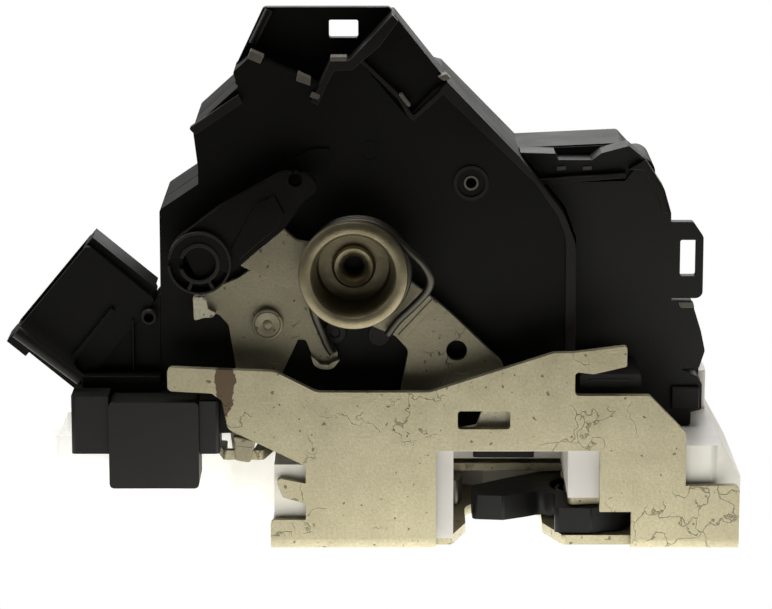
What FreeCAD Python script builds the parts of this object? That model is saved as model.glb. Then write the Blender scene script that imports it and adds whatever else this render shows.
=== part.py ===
import FreeCAD, Part
import math
import os
import Sketcher
from FreeCAD import Placement, Rotation, Vector
from types import SimpleNamespace

# A car door latch with its central-locking actuator, seen from the inboard side of the door.
# Frame: X runs across the shut face, Y from the inboard flange into the latch, Z from the shut face up
# into the housing. The origin is where the flange's front plane meets the shut face, beside the striker slot.

doc = FreeCAD.newDocument("door_latch_actuator")
sheet = doc.addObject("Spreadsheet::Sheet", "sizes")

SIZES = {
    # steel plate, bent to an L
    "sheet_thick": 2.0, "plate_left": 50.7, "plate_right": 45.2, "plate_deep": 56.0, "bend_radius": 2.4,
    "foot_high": 6.5, "heel_high": 13.7, "arm_left": 71.5, "arm_low": 33.6, "arm_high": 38.5,
    "neck_left": 43.5, "flange_right": 34.1, "flange_waist": 33.3, "flange_peak": 41.5,
    "mouth_left": 16.9, "mouth_right": 16.6, "mouth_high": 21.1, "step_right": 23.1, "step_high": 8.2,
    "slot_low": 25.6, "slot_high": 29.4, "slot_left": 12.5, "slot_right": 1.8, "slot_corner": 0.7,
    # striker slot in the shut face
    "striker_left": 10.5, "striker_right": 5.5, "striker_end": 31.5, "funnel_front": 4.5, "funnel_deep": 14.0,
    "funnel_left": 13.5, "funnel_right": 9.3,
    # M6 screw holes with drawn collars
    "screw_core": 2.5, "collar_radius": 4.2, "collar_high": 3.0,
    "screw_left_x": 41.0, "screw_right_x": 36.0, "screw_back_x": 2.5, "screw_front_y": 14.0, "screw_back_y": 49.5,
    # moulded latch body
    "body_gap": 0.3, "body_high": 21.6, "body_back": 55.0, "body_right": 46.2, "body_left": 50.0,
    "cavity_roof": 10.6, "channel_left": 13.3, "channel_right": 10.2, "channel_roof": 20.4, "channel_back": 34.5,
    "well_radius": 5.0, "well_high": 14.4, "well_step": 0.8, "coil_high": 15.4, "column_left": 36.2, "column_right": 41.0, "column_high": 30.0,
    # catch, pawl and their pins
    "catch_x": 15.0, "catch_y": 24.0, "pawl_x": 27.0, "pawl_y": 38.0, "blade_gap": 0.3, "blade_thick": 5.2,
    "pin_radius": 4.5, "pawl_pin_radius": 3.0, "pin_neck": 3.2, "run_gap": 0.05, "rivet_head": 5.2,
    "rivet_thin": 0.9, "catch_skin": 1.2, "spring_well": 7.6, "well_deep": 3.0, "spring_wire": 0.9,
    "hub_radius": 6.5, "tube_radius": 5.0, "crank_low": 18.0, "crank_thick": 2.0,
    "back_plate_thick": 1.6, "bumper_thick": 3.2, "bumper_low": 11.6,
    # actuator housing
    "face_y": 13.0, "right_face_y": 19.0, "eye_face_y": 21.0, "seam_y": 26.7, "seal_thick": 0.6,
    "housing_back": 46.0, "wall": 2.0, "housing_left": 73.5, "housing_right": 11.9, "housing_low": 27.0,
    "split": 0.3, "eye_thick": 2.6, "eye_left": 38.8, "eye_right": 32.8, "eye_low": 103.0, "eye_high": 106.7,
    "tab_thick": 2.4, "tab_reach": 38.6, "tab_low": 48.9, "tab_high": 65.0,
    "boss_x": 9.7, "boss_z": 74.2, "boss_radius": 3.7, "boss_hole": 1.45,
    # levers and the spring cup on the housing's face
    "cup_x": 33.7, "cup_z": 57.6, "cup_front": 1.0, "cup_radius": 11.1, "cup_neck": 8.5, "cup_shoulder": 7.7,
    "cup_mouth": 9.7, "cup_bore": 7.4, "cup_floor": 9.6, "cup_boss": 4.2, "cup_boss_face": 8.2, "cup_hole": 2.7,
    "lever_thick": 1.8, "lever_y": 8.2, "pawl_lever_y": 10.5, "rivet_x": 51.4, "rivet_z": 45.5,
    "rivet_shank": 2.0, "rivet_button": 3.2, "rivet_deep": 5.0, "cable_hole": 2.1,
    "wire": 1.2, "coil_radius": 12.1, "coil_pitch": 1.32, "coil_front": 2.6,
    "lock_x": 64.9, "lock_z": 59.5, "clip_radius": 6.45, "clip_bore": 3.4, "clip_front": 2.4, "lock_y": 4.0,
    "lock_thick": 3.6, "lock_shaft": 3.9,
    # locking drive inside the housing
    "drive_module": 1.0, "pinion_teeth": 8, "sector_teeth": 58, "wheel_teeth": 24, "worm_pitch": 3.4,
    "worm_radius": 3.4, "tooth_high": 1.0, "tooth_slack": 0.4, "wheel_y": 25.0, "wheel_thick": 4.0,
    "pinion_thick": 3.6, "axle_radius": 2.0, "motor_radius": 9.5, "motor_flat": 7.4, "motor_long": 20.0,
    "shaft_radius": 1.0,
    # connector
    "plug_wide": 25.2, "plug_deep": 14.0, "plug_long": 18.0, "plug_wall": 1.5, "plug_socket": 13.0,
    "plug_turn": 39.7, "plug_x": 96.4, "plug_z": 51.8, "plug_y": 12.0, "blade_wide": 1.5, "blade_thin": 0.64,
    # switch box, its holder and the tray behind them
    "box_left": 83.5, "box_right": 65.2, "box_low": 13.4, "box_high": 31.4, "box_front": 1.0, "box_back": 10.6,
    "holder_left": 91.2, "holder_right": 61.0, "holder_low": 20.4, "holder_high": 32.4, "holder_step": 88.8,
    "tray_left": 97.0, "tray_high": 21.0, "tray_low": 2.6, "tray_back": 44.0, "tray_corner": 70.0,
    # fasteners
    "head_radius": 2.6, "head_high": 1.6, "stem_radius": 1.1, "stem_long": 7.0,
}


class Size:
    """A value from the sheet, or a sum or share of such values, as a number and in the sheet's words."""

    def __init__(self, value, words):
        self.value = value
        self.words = words

    def __add__(self, other):
        return Size(self.value + number(other), f"({self.words} + {wording(other)})")

    __radd__ = __add__

    def __sub__(self, other):
        return Size(self.value - number(other), f"({self.words} - {wording(other)})")

    def __rsub__(self, other):
        return Size(number(other) - self.value, f"({wording(other)} - {self.words})")

    def __mul__(self, other):
        return Size(self.value * number(other), f"({self.words} * {wording(other)})")

    __rmul__ = __mul__

    def __truediv__(self, other):
        return Size(self.value / number(other), f"({self.words} / {wording(other)})")

    def __neg__(self):
        return Size(-self.value, f"(0 - {self.words})")


def number(item):
    return item.value if isinstance(item, Size) else float(item)


def wording(item):
    return item.words if isinstance(item, Size) else f"({float(item):.6f})"


for row, (alias, value) in enumerate(SIZES.items(), 1):
    sheet.set(f"A{row}", alias)
    sheet.set(f"B{row}", str(value))
    sheet.setAlias(f"B{row}", alias)
doc.recompute()
dim = SimpleNamespace(**{alias: Size(float(value), f"sizes.{alias}") for alias, value in SIZES.items()})
dim.front = dim.sheet_thick + dim.body_gap
dim.wheel_pitch = dim.wheel_teeth * dim.worm_pitch / (2 * math.pi)
dim.gear_span = dim.drive_module * (dim.pinion_teeth + dim.sector_teeth) / 2
dim.wheel_x = dim.lock_x - dim.gear_span * math.cos(math.radians(6))
dim.wheel_z = dim.lock_z - dim.gear_span * math.sin(math.radians(6))
dim.worm_z = dim.wheel_z - dim.wheel_pitch - dim.worm_radius
dim.worm_half = 2.5 * dim.worm_pitch
dim.drive_y = dim.wheel_y + dim.wheel_thick / 2

# Helpers: each adds one kind of feature to one body. A place is a plain number or a Size.
PLANES = {"front": "XZ_Plane", "top": "XY_Plane", "side": "YZ_Plane"}
NORMALS = {"front": Vector(0, 1, 0), "top": Vector(0, 0, 1), "side": Vector(1, 0, 0)}
pieces = []


def bind(feature, prop, item):
    feature.setExpression(prop, wording(item))


def new_body(name):
    body = doc.addObject("PartDesign::Body", name)
    body.Label = name
    pieces.append(body)
    return body


def set_at(body, x=0, y=0, z=0):
    for letter, item in (("x", x), ("y", y), ("z", z)):
        if isinstance(item, Size) or item:
            bind(body, f"Placement.Base.{letter}", item)


def start_sketch(body, name, facing, level):
    sketch = body.newObject("Sketcher::SketchObject", name)
    plane = next(f for f in body.Origin.OriginFeatures if f.Role == PLANES[facing])
    sketch.AttachmentSupport = [(plane, "")]
    sketch.MapMode = "FlatFace"
    bind(sketch, "AttachmentOffset.Base.z", -1 * level if facing == "front" else 1 * level)
    return sketch


def tie(sketch, kind, line, corner, item):
    if not isinstance(item, Size) and item == 0:
        axis = -2 if kind == "DistanceX" else -1
        sketch.addConstraint(Sketcher.Constraint("PointOnObject", line, corner, axis))
        return
    index = sketch.addConstraint(Sketcher.Constraint(kind, -1, 1, line, corner, number(item)))
    if isinstance(item, Size):
        sketch.setExpression(f"Constraints[{index}]", item.words)


def circle(across, up, radius):
    return ("circle", across, up, radius)


def trace(sketch, loop):
    """One closed loop: a circle, or an outline whose corners are (across, up) or (across, up, radius)."""
    first = sketch.GeometryCount
    if loop[0] == "circle":
        kind, across, up, radius = loop
        centre = Vector(number(across), number(up), 0)
        sketch.addGeometry(Part.Circle(centre, Vector(0, 0, 1), number(radius)), False)
        tie(sketch, "DistanceX", first, 3, across)
        tie(sketch, "DistanceY", first, 3, up)
        index = sketch.addConstraint(Sketcher.Constraint("Radius", first, number(radius)))
        bind(sketch, f"Constraints[{index}]", radius)
        return
    corners = [Vector(number(point[0]), number(point[1]), 0) for point in loop]
    count = len(corners)
    lines = [Part.LineSegment(corners[i], corners[(i + 1) % count]) for i in range(count)]
    sketch.addGeometry(lines, False)
    sketch.addConstraint(
        [Sketcher.Constraint("Coincident", first + i, 2, first + (i + 1) % count, 1) for i in range(count)])
    for i, point in enumerate(loop):
        tie(sketch, "DistanceX", first + i, 1, point[0])
        tie(sketch, "DistanceY", first + i, 1, point[1])


def edges_along(shape, facing, places):
    """Names of the straight edges that run along the facing's normal through one of the places."""
    names = []
    for index, edge in enumerate(shape.Edges, 1):
        if edge.Curve.TypeId != "Part::GeomLine":
            continue
        if abs(edge.tangentAt(edge.FirstParameter).dot(NORMALS[facing])) < 0.999:
            continue
        middle = edge.valueAt((edge.FirstParameter + edge.LastParameter) / 2)
        spot = {"front": (middle.x, middle.z), "top": (middle.x, middle.y), "side": (middle.y, middle.z)}[facing]
        if any(math.dist(spot, place) < 0.02 for place in places):
            names.append(f"Edge{index}")
    return names


def round_edges(body, name, edges, radius):
    base = body.Tip
    feature = body.newObject("PartDesign::Fillet", name)
    feature.Base = (base, edges)
    bind(feature, "Radius", radius)
    doc.recompute()
    if "Invalid" in feature.State or not feature.Shape.isValid():
        raise ValueError(f"{body.Label}: {name} fails")


def prism(body, name, kind, facing, level, depth, loops):
    """A Pad or a Pocket from the level, along the facing's axis, with its outline's corners rounded."""
    before = body.Tip.Shape.Volume if body.Tip else 0
    sketch = start_sketch(body, name + "_outline", facing, level)
    for loop in loops:
        trace(sketch, loop)
    feature = body.newObject("PartDesign::" + kind, name)
    feature.Profile = sketch
    bind(feature, "Length", depth)
    feature.Reversed = (facing == "front") == (kind == "Pad")
    doc.recompute()
    if kind == "Pocket" and feature.Shape.Volume > before - 0.01:
        raise ValueError(f"{body.Label}: {name} cuts nothing")
    rounded = {}
    for loop in loops:
        for point in loop if loop[0] != "circle" else ():
            if len(point) == 3:
                rounded.setdefault(number(point[2]), [point[2]]).append((number(point[0]), number(point[1])))
    for order, (radius, *places) in enumerate(rounded.values(), 1):
        edges = edges_along(body.Tip.Shape, facing, places)
        if edges:
            round_edges(body, f"{name}_round_{order}", edges, radius)
    return feature


def pad(body, name, facing, level, depth, *loops):
    return prism(body, name, "Pad", facing, level, depth, loops)


def pocket(body, name, facing, level, depth, *loops):
    return prism(body, name, "Pocket", facing, level, depth, loops)


def revolve(body, name, facing, points):
    """A turned form: (radius, height) points turned about the sketch's upright axis."""
    sketch = start_sketch(body, name + "_outline", facing, 0)
    trace(sketch, points)
    feature = body.newObject("PartDesign::Revolution", name)
    feature.Profile = sketch
    feature.ReferenceAxis = (sketch, ["V_Axis"])
    feature.Angle = 360
    doc.recompute()
    return feature


def solid_piece(name, shape, place):
    """A piece whose form no sketch feature makes, such as gear teeth or a coil, set at its place."""
    feature = doc.addObject("Part::Feature", name)
    feature.Label = name
    feature.Shape = shape
    feature.Placement = place.multiply(shape.Placement)
    pieces.append(feature)


def inset(points, gap):
    """The outline moved inwards by the gap, corner by corner, with no corner radii."""
    flat = [(number(point[0]), number(point[1])) for point in points]
    count = len(flat)
    area = sum(flat[i - 1][0] * flat[i][1] - flat[i][0] * flat[i - 1][1] for i in range(count))
    side = 1 if area > 0 else -1
    moved = []
    for i, point in enumerate(points):
        (ax, ay), (bx, by), (cx, cy) = flat[i - 1], flat[i], flat[(i + 1) % count]
        first = Vector(ay - by, bx - ax, 0).normalize() * side
        second = Vector(by - cy, cx - bx, 0).normalize() * side
        reach = (first + second) / (1 + first.dot(second))
        moved.append((point[0] + gap * reach.x, point[1] + gap * reach.y))
    return moved


def rectangle(left, low, right, high, radius=None):
    corners = [(left, low), (right, low), (right, high), (left, high)]
    return [(x, z, radius) for x, z in corners] if radius else corners


def relative(points, x, z):
    """Outline points moved from a pivot's own frame to the part's."""
    return [(x + point[0], z + point[1], *point[2:]) for point in points]


# The steel plate: the flange faces inboard and carries the arm, the long slot and the lug; the shut face
# has the striker slot, which opens to the flange's mouth, and three drawn collars with M6 threads.
def latch_plate():
    body = new_body("latch_plate")
    flange = [
        (-dim.plate_left, 0), (-dim.plate_left, dim.foot_high, 1.2), (-dim.neck_left, dim.foot_high),
        (-dim.neck_left, dim.foot_high + 3.5), (-dim.neck_left - 4.7, dim.foot_high + 4.7, 0.8),
        (-dim.neck_left - 6.3, dim.foot_high + 8.9, 0.8), (-dim.neck_left, dim.foot_high + 7.7),
        (-dim.neck_left, dim.foot_high + 11.4), (-59.3, 25.6, 2.0), (-60.5, 31.6), (-62.5, 33.1),
        (-dim.arm_left, dim.arm_low, 1.0), (-dim.arm_left, dim.arm_high, 1.0), (-49.6, 37.6, 4.0),
        (-41.2, dim.flange_waist, 4.0), (-18.2, dim.flange_waist, 6.0), (7.0, dim.flange_peak, 4.0),
        (11.0, dim.flange_peak), (21.8, dim.flange_peak + 1.4, 0.5), (21.8, dim.flange_peak - 2.8, 0.5),
        (15.0, 37.1), (11.3, 37.6, 0.8), (11.3, 32.6, 0.9), (26.5, 32.6, 1.0), (dim.flange_right, 24.7, 1.5),
        (dim.flange_right, dim.heel_high), (dim.plate_right, dim.heel_high, 1.2), (dim.plate_right, 0),
        (dim.step_right, 0), (dim.step_right, dim.step_high), (dim.mouth_right, dim.step_high),
        (dim.mouth_right, dim.mouth_high), (-dim.mouth_left, dim.mouth_high), (-dim.mouth_left, 0),
    ]
    slot = rectangle(-dim.slot_left, dim.slot_low, -dim.slot_right, dim.slot_high, dim.slot_corner)
    pad(body, "flange", "front", 0, dim.sheet_thick, flange, slot)
    shut_face = [
        (-dim.plate_left, 0), (-dim.mouth_left, 0), (-dim.mouth_left, dim.funnel_front),
        (-dim.funnel_left, dim.funnel_front, 0.8), (-dim.striker_left, dim.funnel_deep, 3.0),
        (-dim.striker_left, dim.striker_end, 7.0), (dim.striker_right, dim.striker_end, 7.0),
        (dim.striker_right, dim.funnel_deep, 3.0), (dim.funnel_right, dim.funnel_front, 0.8),
        (dim.step_right, dim.funnel_front), (dim.step_right, 0), (dim.plate_right, 0),
        (dim.plate_right, dim.plate_deep - 9, 2.0), (dim.plate_right - 10, dim.plate_deep, 2.0),
        (-dim.plate_left + 10, dim.plate_deep, 2.0), (-dim.plate_left, dim.plate_deep - 9, 2.0),
    ]
    pins = [circle(dim.catch_x, dim.catch_y, dim.pin_neck), circle(-dim.pawl_x, dim.pawl_y, dim.pawl_pin_radius - 0.6)]
    pad(body, "shut_face", "top", 0, dim.sheet_thick, shut_face, *pins)
    screws = [(-dim.screw_left_x, dim.screw_front_y), (dim.screw_right_x, dim.screw_front_y),
              (-dim.screw_back_x, dim.screw_back_y)]
    collars = [circle(x, y, dim.collar_radius) for x, y in screws]
    pad(body, "collars", "top", dim.sheet_thick, dim.collar_high, *collars)
    holes = [circle(x, y, dim.screw_core) for x, y in screws]
    pocket(body, "screw_holes", "top", 0, dim.sheet_thick + dim.collar_high, *holes)
    fold = [f"Edge{i}" for i, edge in enumerate(body.Tip.Shape.Edges, 1)
            if edge.BoundBox.YMax < 0.001 and edge.BoundBox.ZMax < 0.001 and edge.Length > 5]
    round_edges(body, "fold", fold, dim.bend_radius)


def body_walls():
    """The latch body's outline over the shut face, seen from above."""
    return [(-dim.body_left, dim.front), (dim.body_right - 6, dim.front, 2.0), (dim.body_right, dim.front + 6, 1.0),
            (dim.body_right, dim.body_back - 10, 2.0), (dim.body_right - 11, dim.body_back, 2.0),
            (-dim.body_left + 11, dim.body_back, 2.0), (-dim.body_left, dim.body_back - 10, 2.0)]


def latch_body():
    body = new_body("latch_body")
    low = dim.sheet_thick
    pad(body, "block", "top", low, dim.body_high - low, body_walls())
    pad(body, "column", "top", dim.body_high - 1, dim.column_high - dim.body_high + 1,
        rectangle(dim.column_left, 34.0, dim.column_right, 44.0, 1.5))
    cavity = [(-dim.channel_left, 2.0), (dim.step_right + 1, 2.0), (28.6, 9.0), (28.6, 38.0), (21.5, 43.5), (-6.0, 43.5),
              (-14.0, 47.0), (-36.5, 47.0), (-36.5, 27.0), (-dim.channel_left, 20.0)]
    pocket(body, "catch_cavity", "top", low, dim.cavity_roof - low, cavity)
    pocket(body, "striker_channel", "top", low, dim.channel_roof - low,
           rectangle(-dim.channel_left, 2.0, dim.channel_right, dim.channel_back))
    wells = [circle(-dim.screw_left_x, dim.screw_front_y, dim.well_radius),
             circle(dim.screw_right_x, dim.screw_front_y, dim.well_radius),
             circle(-dim.screw_back_x, dim.screw_back_y, dim.well_radius)]
    for step, well in enumerate(wells):
        pocket(body, f"screw_well_{step + 1}", "top", low, dim.well_high - step * dim.well_step - low, well)
    crank_way = [(-51.0, 2.0), (-40.0, 2.0), (-19.0, 33.0), (-19.0, 45.0), (-34.0, 45.0), (-51.0, 30.0)]
    pocket(body, "crank_way", "top", dim.crank_low - 0.4, dim.body_high - dim.crank_low + 1, crank_way)
    pocket(body, "pawl_tube_way", "top", dim.cavity_roof - 1, dim.crank_low - dim.cavity_roof + 2,
           circle(-dim.pawl_x, dim.pawl_y, dim.tube_radius + 0.5))
    pocket(body, "pawl_spring_well", "top", dim.cavity_roof - 1, dim.coil_high - dim.cavity_roof + 1,
           circle(-dim.pawl_x, dim.pawl_y, dim.tube_radius + 1.8))
    slope = [(dim.plate_right - 4.2, dim.body_high + 1), (dim.body_right + 1, dim.body_high + 1),
             (dim.body_right + 1, dim.heel_high - 2)]
    pocket(body, "shoulder_slope", "front", 0, dim.body_back + 1, slope)


def tray():
    body = new_body("tray")
    front = dim.face_y
    walls = [(-dim.tray_left, front, 2.0), (-dim.tray_corner, front), (-dim.body_left, 27.0),
             (-dim.body_left, dim.tray_back), (-dim.tray_left + 8, dim.tray_back, 3.0),
             (-dim.tray_left, dim.tray_back - 10, 2.0)]
    pad(body, "block", "top", dim.tray_low, dim.tray_high - dim.tray_low, walls)
    pocket(body, "hollow", "top", dim.tray_low + dim.wall, dim.tray_high, inset(walls, dim.wall))


def headed_pin(name, x, y, radius, neck, head):
    """A riveted pivot pin: neck flush with the shut face, bearing, and a riveted end on the back plate."""
    body = new_body(name)
    top = dim.sheet_thick + dim.blade_gap + dim.blade_thick + dim.blade_gap
    end = top + dim.back_plate_thick
    revolve(body, "turned", "front", [
        (0, 0), (neck, 0), (neck, dim.sheet_thick), (radius, dim.sheet_thick), (radius, top), (neck, top), (neck, end),
        (head, end), (head, end + dim.rivet_thin), (0, end + dim.rivet_thin)])
    set_at(body, x, y)


def catch_outline():
    """The open catch from above: the hook points inboard beside the slot, the other prong crosses it."""
    x, y = dim.catch_x, dim.catch_y
    return relative([
        (-7.4, -18.4, 1.0), (0.2, -18.9, 1.5), (7.0, -16.4, 3.0), (10.8, -9.6, 3.0), (12.0, 0.5, 5.0), (9.0, 9.4, 4.0),
        (0.5, 12.6, 5.0), (-9.0, 11.2, 3.0), (-17.0, 5.4, 3.0), (-24.2, -0.6, 1.5), (-24.0, -8.2, 1.2),
        (-17.6, -9.0, 1.2), (-12.8, -6.4, 0.8), (-9.6, -4.2, 1.8), (-6.6, -7.4, 1.8)], x, y)


def catch():
    low = dim.sheet_thick + dim.blade_gap
    core = new_body("catch")
    skin = dim.catch_skin
    bore = circle(dim.catch_x, dim.catch_y, dim.pin_radius + dim.run_gap)
    pad(core, "blade", "top", low, dim.blade_thick - skin, inset(catch_outline(), skin), bore)
    pocket(core, "spring_seat", "top", low + dim.blade_thick - dim.well_deep, dim.well_deep,
           circle(dim.catch_x, dim.catch_y, dim.spring_well))
    cover = new_body("catch_cover")
    pad(cover, "skin", "top", low, dim.blade_thick, catch_outline())
    pocket(cover, "core_seat", "top", low, dim.blade_thick - skin, inset(catch_outline(), skin))
    pocket(cover, "spring_way", "top", low, dim.blade_thick, circle(dim.catch_x, dim.catch_y, dim.spring_well))


def pawl():
    low = dim.sheet_thick + dim.blade_gap
    x, y = -dim.pawl_x, dim.pawl_y
    body = new_body("pawl")
    arm = relative([(-2.0, 5.5), (4.5, 5.0, 1.0), (14.6, -3.6, 1.0), (16.2, -6.4, 0.8), (15.0, -10.6, 0.8),
                    (10.8, -10.0, 2.0), (4.0, -6.0), (-2.0, -5.5)], x, y)
    pad(body, "arm", "top", low, dim.blade_thick, arm)
    pad(body, "hub", "top", low, dim.blade_thick, circle(x, y, dim.hub_radius))
    pad(body, "tube", "top", low, dim.crank_low - low, circle(x, y, dim.tube_radius))
    pocket(body, "bore", "top", low, dim.crank_low, circle(x, y, dim.pawl_pin_radius + dim.run_gap))
    crank = new_body("pawl_crank")
    lever = relative([(-5.0, 3.5, 2.0), (0.0, 6.2, 2.0), (5.0, 3.5, 2.0), (5.0, -4.0, 2.0), (-23.2, -25.5, 1.5),
                      (-25.2, -33.4, 0.8), (-33.4, -33.4, 0.8), (-34.8, -27.5), (-34.8, -25.0, 0.8),
                      (-32.9, -24.8, 0.8), (-32.9, -31.6), (-27.2, -31.6), (-26.2, -25.0, 2.0)], x, y)
    pad(crank, "lever", "top", dim.crank_low, dim.crank_thick, lever,
        circle(x, y, dim.pawl_pin_radius + dim.run_gap))


def pawl_pin():
    body = new_body("pawl_pin")
    radius = dim.pawl_pin_radius
    neck = radius - 0.6
    top = dim.body_high
    revolve(body, "turned", "front", [
        (0, 0), (neck, 0), (neck, dim.sheet_thick), (radius, dim.sheet_thick), (radius, top), (0, top)])
    set_at(body, -dim.pawl_x, dim.pawl_y)


def back_plate():
    body = new_body("back_plate")
    level = dim.sheet_thick + dim.blade_gap + dim.blade_thick + dim.blade_gap
    outline = [(dim.channel_right + 0.4, 7.0, 1.0), (27.0, 9.5, 2.0), (27.0, 37.0, 2.0), (20.5, 42.5, 2.0), (-6.5, 42.5),
               (-14.5, 46.0, 2.0), (-35.5, 46.0, 2.0), (-35.5, 28.0, 2.0), (-dim.channel_left - 0.6, 21.5, 1.0),
               (-dim.channel_left - 0.6, dim.channel_back + 0.4), (dim.channel_right + 0.4, dim.channel_back + 0.4)]
    pad(body, "plate", "top", level, dim.back_plate_thick, outline, circle(dim.catch_x, dim.catch_y, dim.pin_neck),
        circle(-dim.pawl_x, dim.pawl_y, dim.tube_radius + 0.4))


def bumper():
    body = new_body("bumper")
    pad(body, "block", "top", dim.bumper_low, 6.4,
        rectangle(-dim.striker_left + 2, dim.channel_back - dim.bumper_thick, dim.striker_right - 1, dim.channel_back, 1.0))


def helix_points(radius, start_angle, turn, low, high, steps_per_turn=16):
    """Points along a coil about Z from one angle, in degrees, through a turn of so many degrees, between two levels."""
    steps = round(abs(turn) * steps_per_turn / 360)
    points = []
    for step in range(steps + 1):
        angle = math.radians(start_angle + turn * step / steps)
        points.append(Vector(radius * math.cos(angle), radius * math.sin(angle), low + (high - low) * step / steps))
    return points


def wire_along(path, radius, sides=6):
    """A solid of wire along a path of close points, with flat facets that meet at each point's mitre."""
    runs = [(path[i + 1] - path[i]).normalize() for i in range(len(path) - 1)]
    across = runs[0].cross(Vector(0.1, 0.2, 1.0)).normalize()
    corners, facets = [], []
    for i, point in enumerate(path):
        before, after = runs[max(i - 1, 0)], runs[min(i, len(runs) - 1)]
        along = (before + after).normalize()
        across = (across - along * across.dot(along)).normalize()
        beside = along.cross(across)
        for side in range(sides):
            angle = 2 * math.pi * side / sides
            corners.append(point + (across * math.cos(angle) + beside * math.sin(angle)) * radius)
    last = (len(path) - 1) * sides
    for i in range(len(path) - 1):
        for side in range(sides):
            a, b = i * sides + side, i * sides + (side + 1) % sides
            facets += [(a, b, b + sides), (a, b + sides, a + sides)]
    for side in range(1, sides - 1):
        facets += [(0, side + 1, side), (last, last + side, last + side + 1)]
    skin = Part.Shape()
    skin.makeShapeFromMesh((corners, facets), 0.0001)
    solid = Part.Solid(skin.Shells[0] if skin.Shells else skin)
    return solid if solid.Volume > 0 else solid.reversed()


def blade_springs():
    """The catch's and the pawl's return springs, each coiled round its pin."""
    wire = number(dim.spring_wire)
    pitch = wire + 0.1
    low = number(dim.sheet_thick + dim.blade_gap + dim.blade_thick - dim.well_deep) + wire / 2 + 0.1
    path = helix_points(number(dim.pin_radius) + 1.6, 0, 648, 0, 1.8 * pitch)
    place = Placement(Vector(number(dim.catch_x), number(dim.catch_y), low), Rotation())
    solid_piece("catch_spring", wire_along(path, wire / 2), place)
    path = helix_points(number(dim.tube_radius) + 0.35 + wire / 2, 0, 936, 0, 2.6 * pitch)
    place = Placement(Vector(-number(dim.pawl_x), number(dim.pawl_y), number(dim.cavity_roof) + 0.1 + wire / 2),
                      Rotation())
    solid_piece("pawl_spring", wire_along(path, wire / 2), place)


# The actuator's housings: front cover, right cover and rear shell meet at one seam with a seal between them.
def front_outline():
    left, right = -dim.housing_left, dim.housing_right
    return [(left, dim.housing_low, 2.0), (left, 68.6, 1.0), (-65.5, 74.0), (-65.5, 77.4), (-66.5, 85.6, 0.8), (-57.2, 94.0),
            (-58.2, 97.0, 0.6), (-54.6, 100.3), (-44.6, 95.9), (-40.9, 94.0), (-38.4, 99.5), (-34.5, 99.5),
            (-25.7, 108.9, 0.6), (-15.2, 95.7, 0.8), (0.0, 79.9), (9.4, 68.0, 2.0), (right, 61.5, 2.0),
            (right, dim.body_high), (-49.8, dim.body_high), (-60.0, dim.housing_low)]


def front_housing():
    body = new_body("front_housing")
    deep = dim.seam_y - dim.face_y
    outline = front_outline()
    pad(body, "block", "front", dim.face_y, deep, outline)
    pocket(body, "hollow", "front", dim.face_y + dim.wall, deep, inset(outline, dim.wall))
    eye_plate = [(-58.0, 92.0), (-58.0, 97.0, 0.6), (-52.2, 109.3, 1.0), (-26.4, 109.3, 0.8), (-17.0, 95.0), (-24.0, 86.0),
                 (-46.0, 86.0)]
    pad(body, "eye_plate", "front", dim.eye_face_y, dim.eye_thick, eye_plate)
    pocket(body, "eye", "front", dim.eye_face_y, dim.eye_thick,
           rectangle(-dim.eye_left, dim.eye_low, -dim.eye_right, dim.eye_high, 0.4))
    upper_step = [(-35.3, 99.0), (-25.7, 109.5), (-14.0, 95.7), (-17.6, 93.2), (-22.7, 87.8), (-32.0, 98.8)]
    pocket(body, "upper_step", "front", dim.face_y, 1.2, upper_step)
    boss = (-dim.boss_x, dim.boss_z)
    pad(body, "screw_boss", "front", dim.face_y, deep, circle(*boss, dim.boss_radius))
    pocket(body, "screw_way", "front", dim.face_y - 1, deep + 2, circle(*boss, dim.boss_hole))
    rivet_boss = (-dim.rivet_x, dim.rivet_z)
    pad(body, "rivet_boss", "front", dim.pawl_lever_y + dim.lever_thick + 0.2, dim.rivet_deep + 1.5, circle(*rivet_boss, 4.2))
    pocket(body, "rivet_hole", "front", dim.face_y - 2, dim.rivet_deep + 0.2, circle(*rivet_boss, dim.rivet_shank))
    pocket(body, "lock_shaft_way", "front", dim.face_y - 1, dim.wall + 2,
           circle(-dim.lock_x, dim.lock_z, dim.lock_shaft + dim.run_gap))
    axle_end = dim.wheel_y - dim.pinion_thick - 0.2
    pad(body, "axle_boss", "front", dim.face_y + 1, axle_end - dim.face_y - 1, circle(-dim.wheel_x, dim.wheel_z, 4.0))
    pocket(body, "axle_hole", "front", dim.face_y + dim.wall, axle_end, circle(-dim.wheel_x, dim.wheel_z, dim.axle_radius))


def right_outline():
    right = dim.housing_right + dim.split
    return [(right, dim.body_high + 0.1), (right, 61.7), (9.8, 68.3), (0.6, 79.5), (7.7, 79.3), (8.5, 77.8),
            (15.1, 77.8), (17.3, 79.4), (22.9, 80.9, 0.8), (26.2, 78.2, 0.8), (30.4, 71.7, 0.8), (31.8, 66.9, 0.6),
            (32.2, 48.4), (36.4, 48.3, 0.5), (38.4, 41.9, 1.5), (39.3, 37.7, 1.5), (38.1, 34.0, 0.5), (34.3, 33.8),
            (37.7, 32.3), (38.8, 30.6, 0.8), (38.8, 25.2, 0.6), (36.6, 24.6), (36.5, dim.body_high + 0.1, 0.5)]


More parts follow.
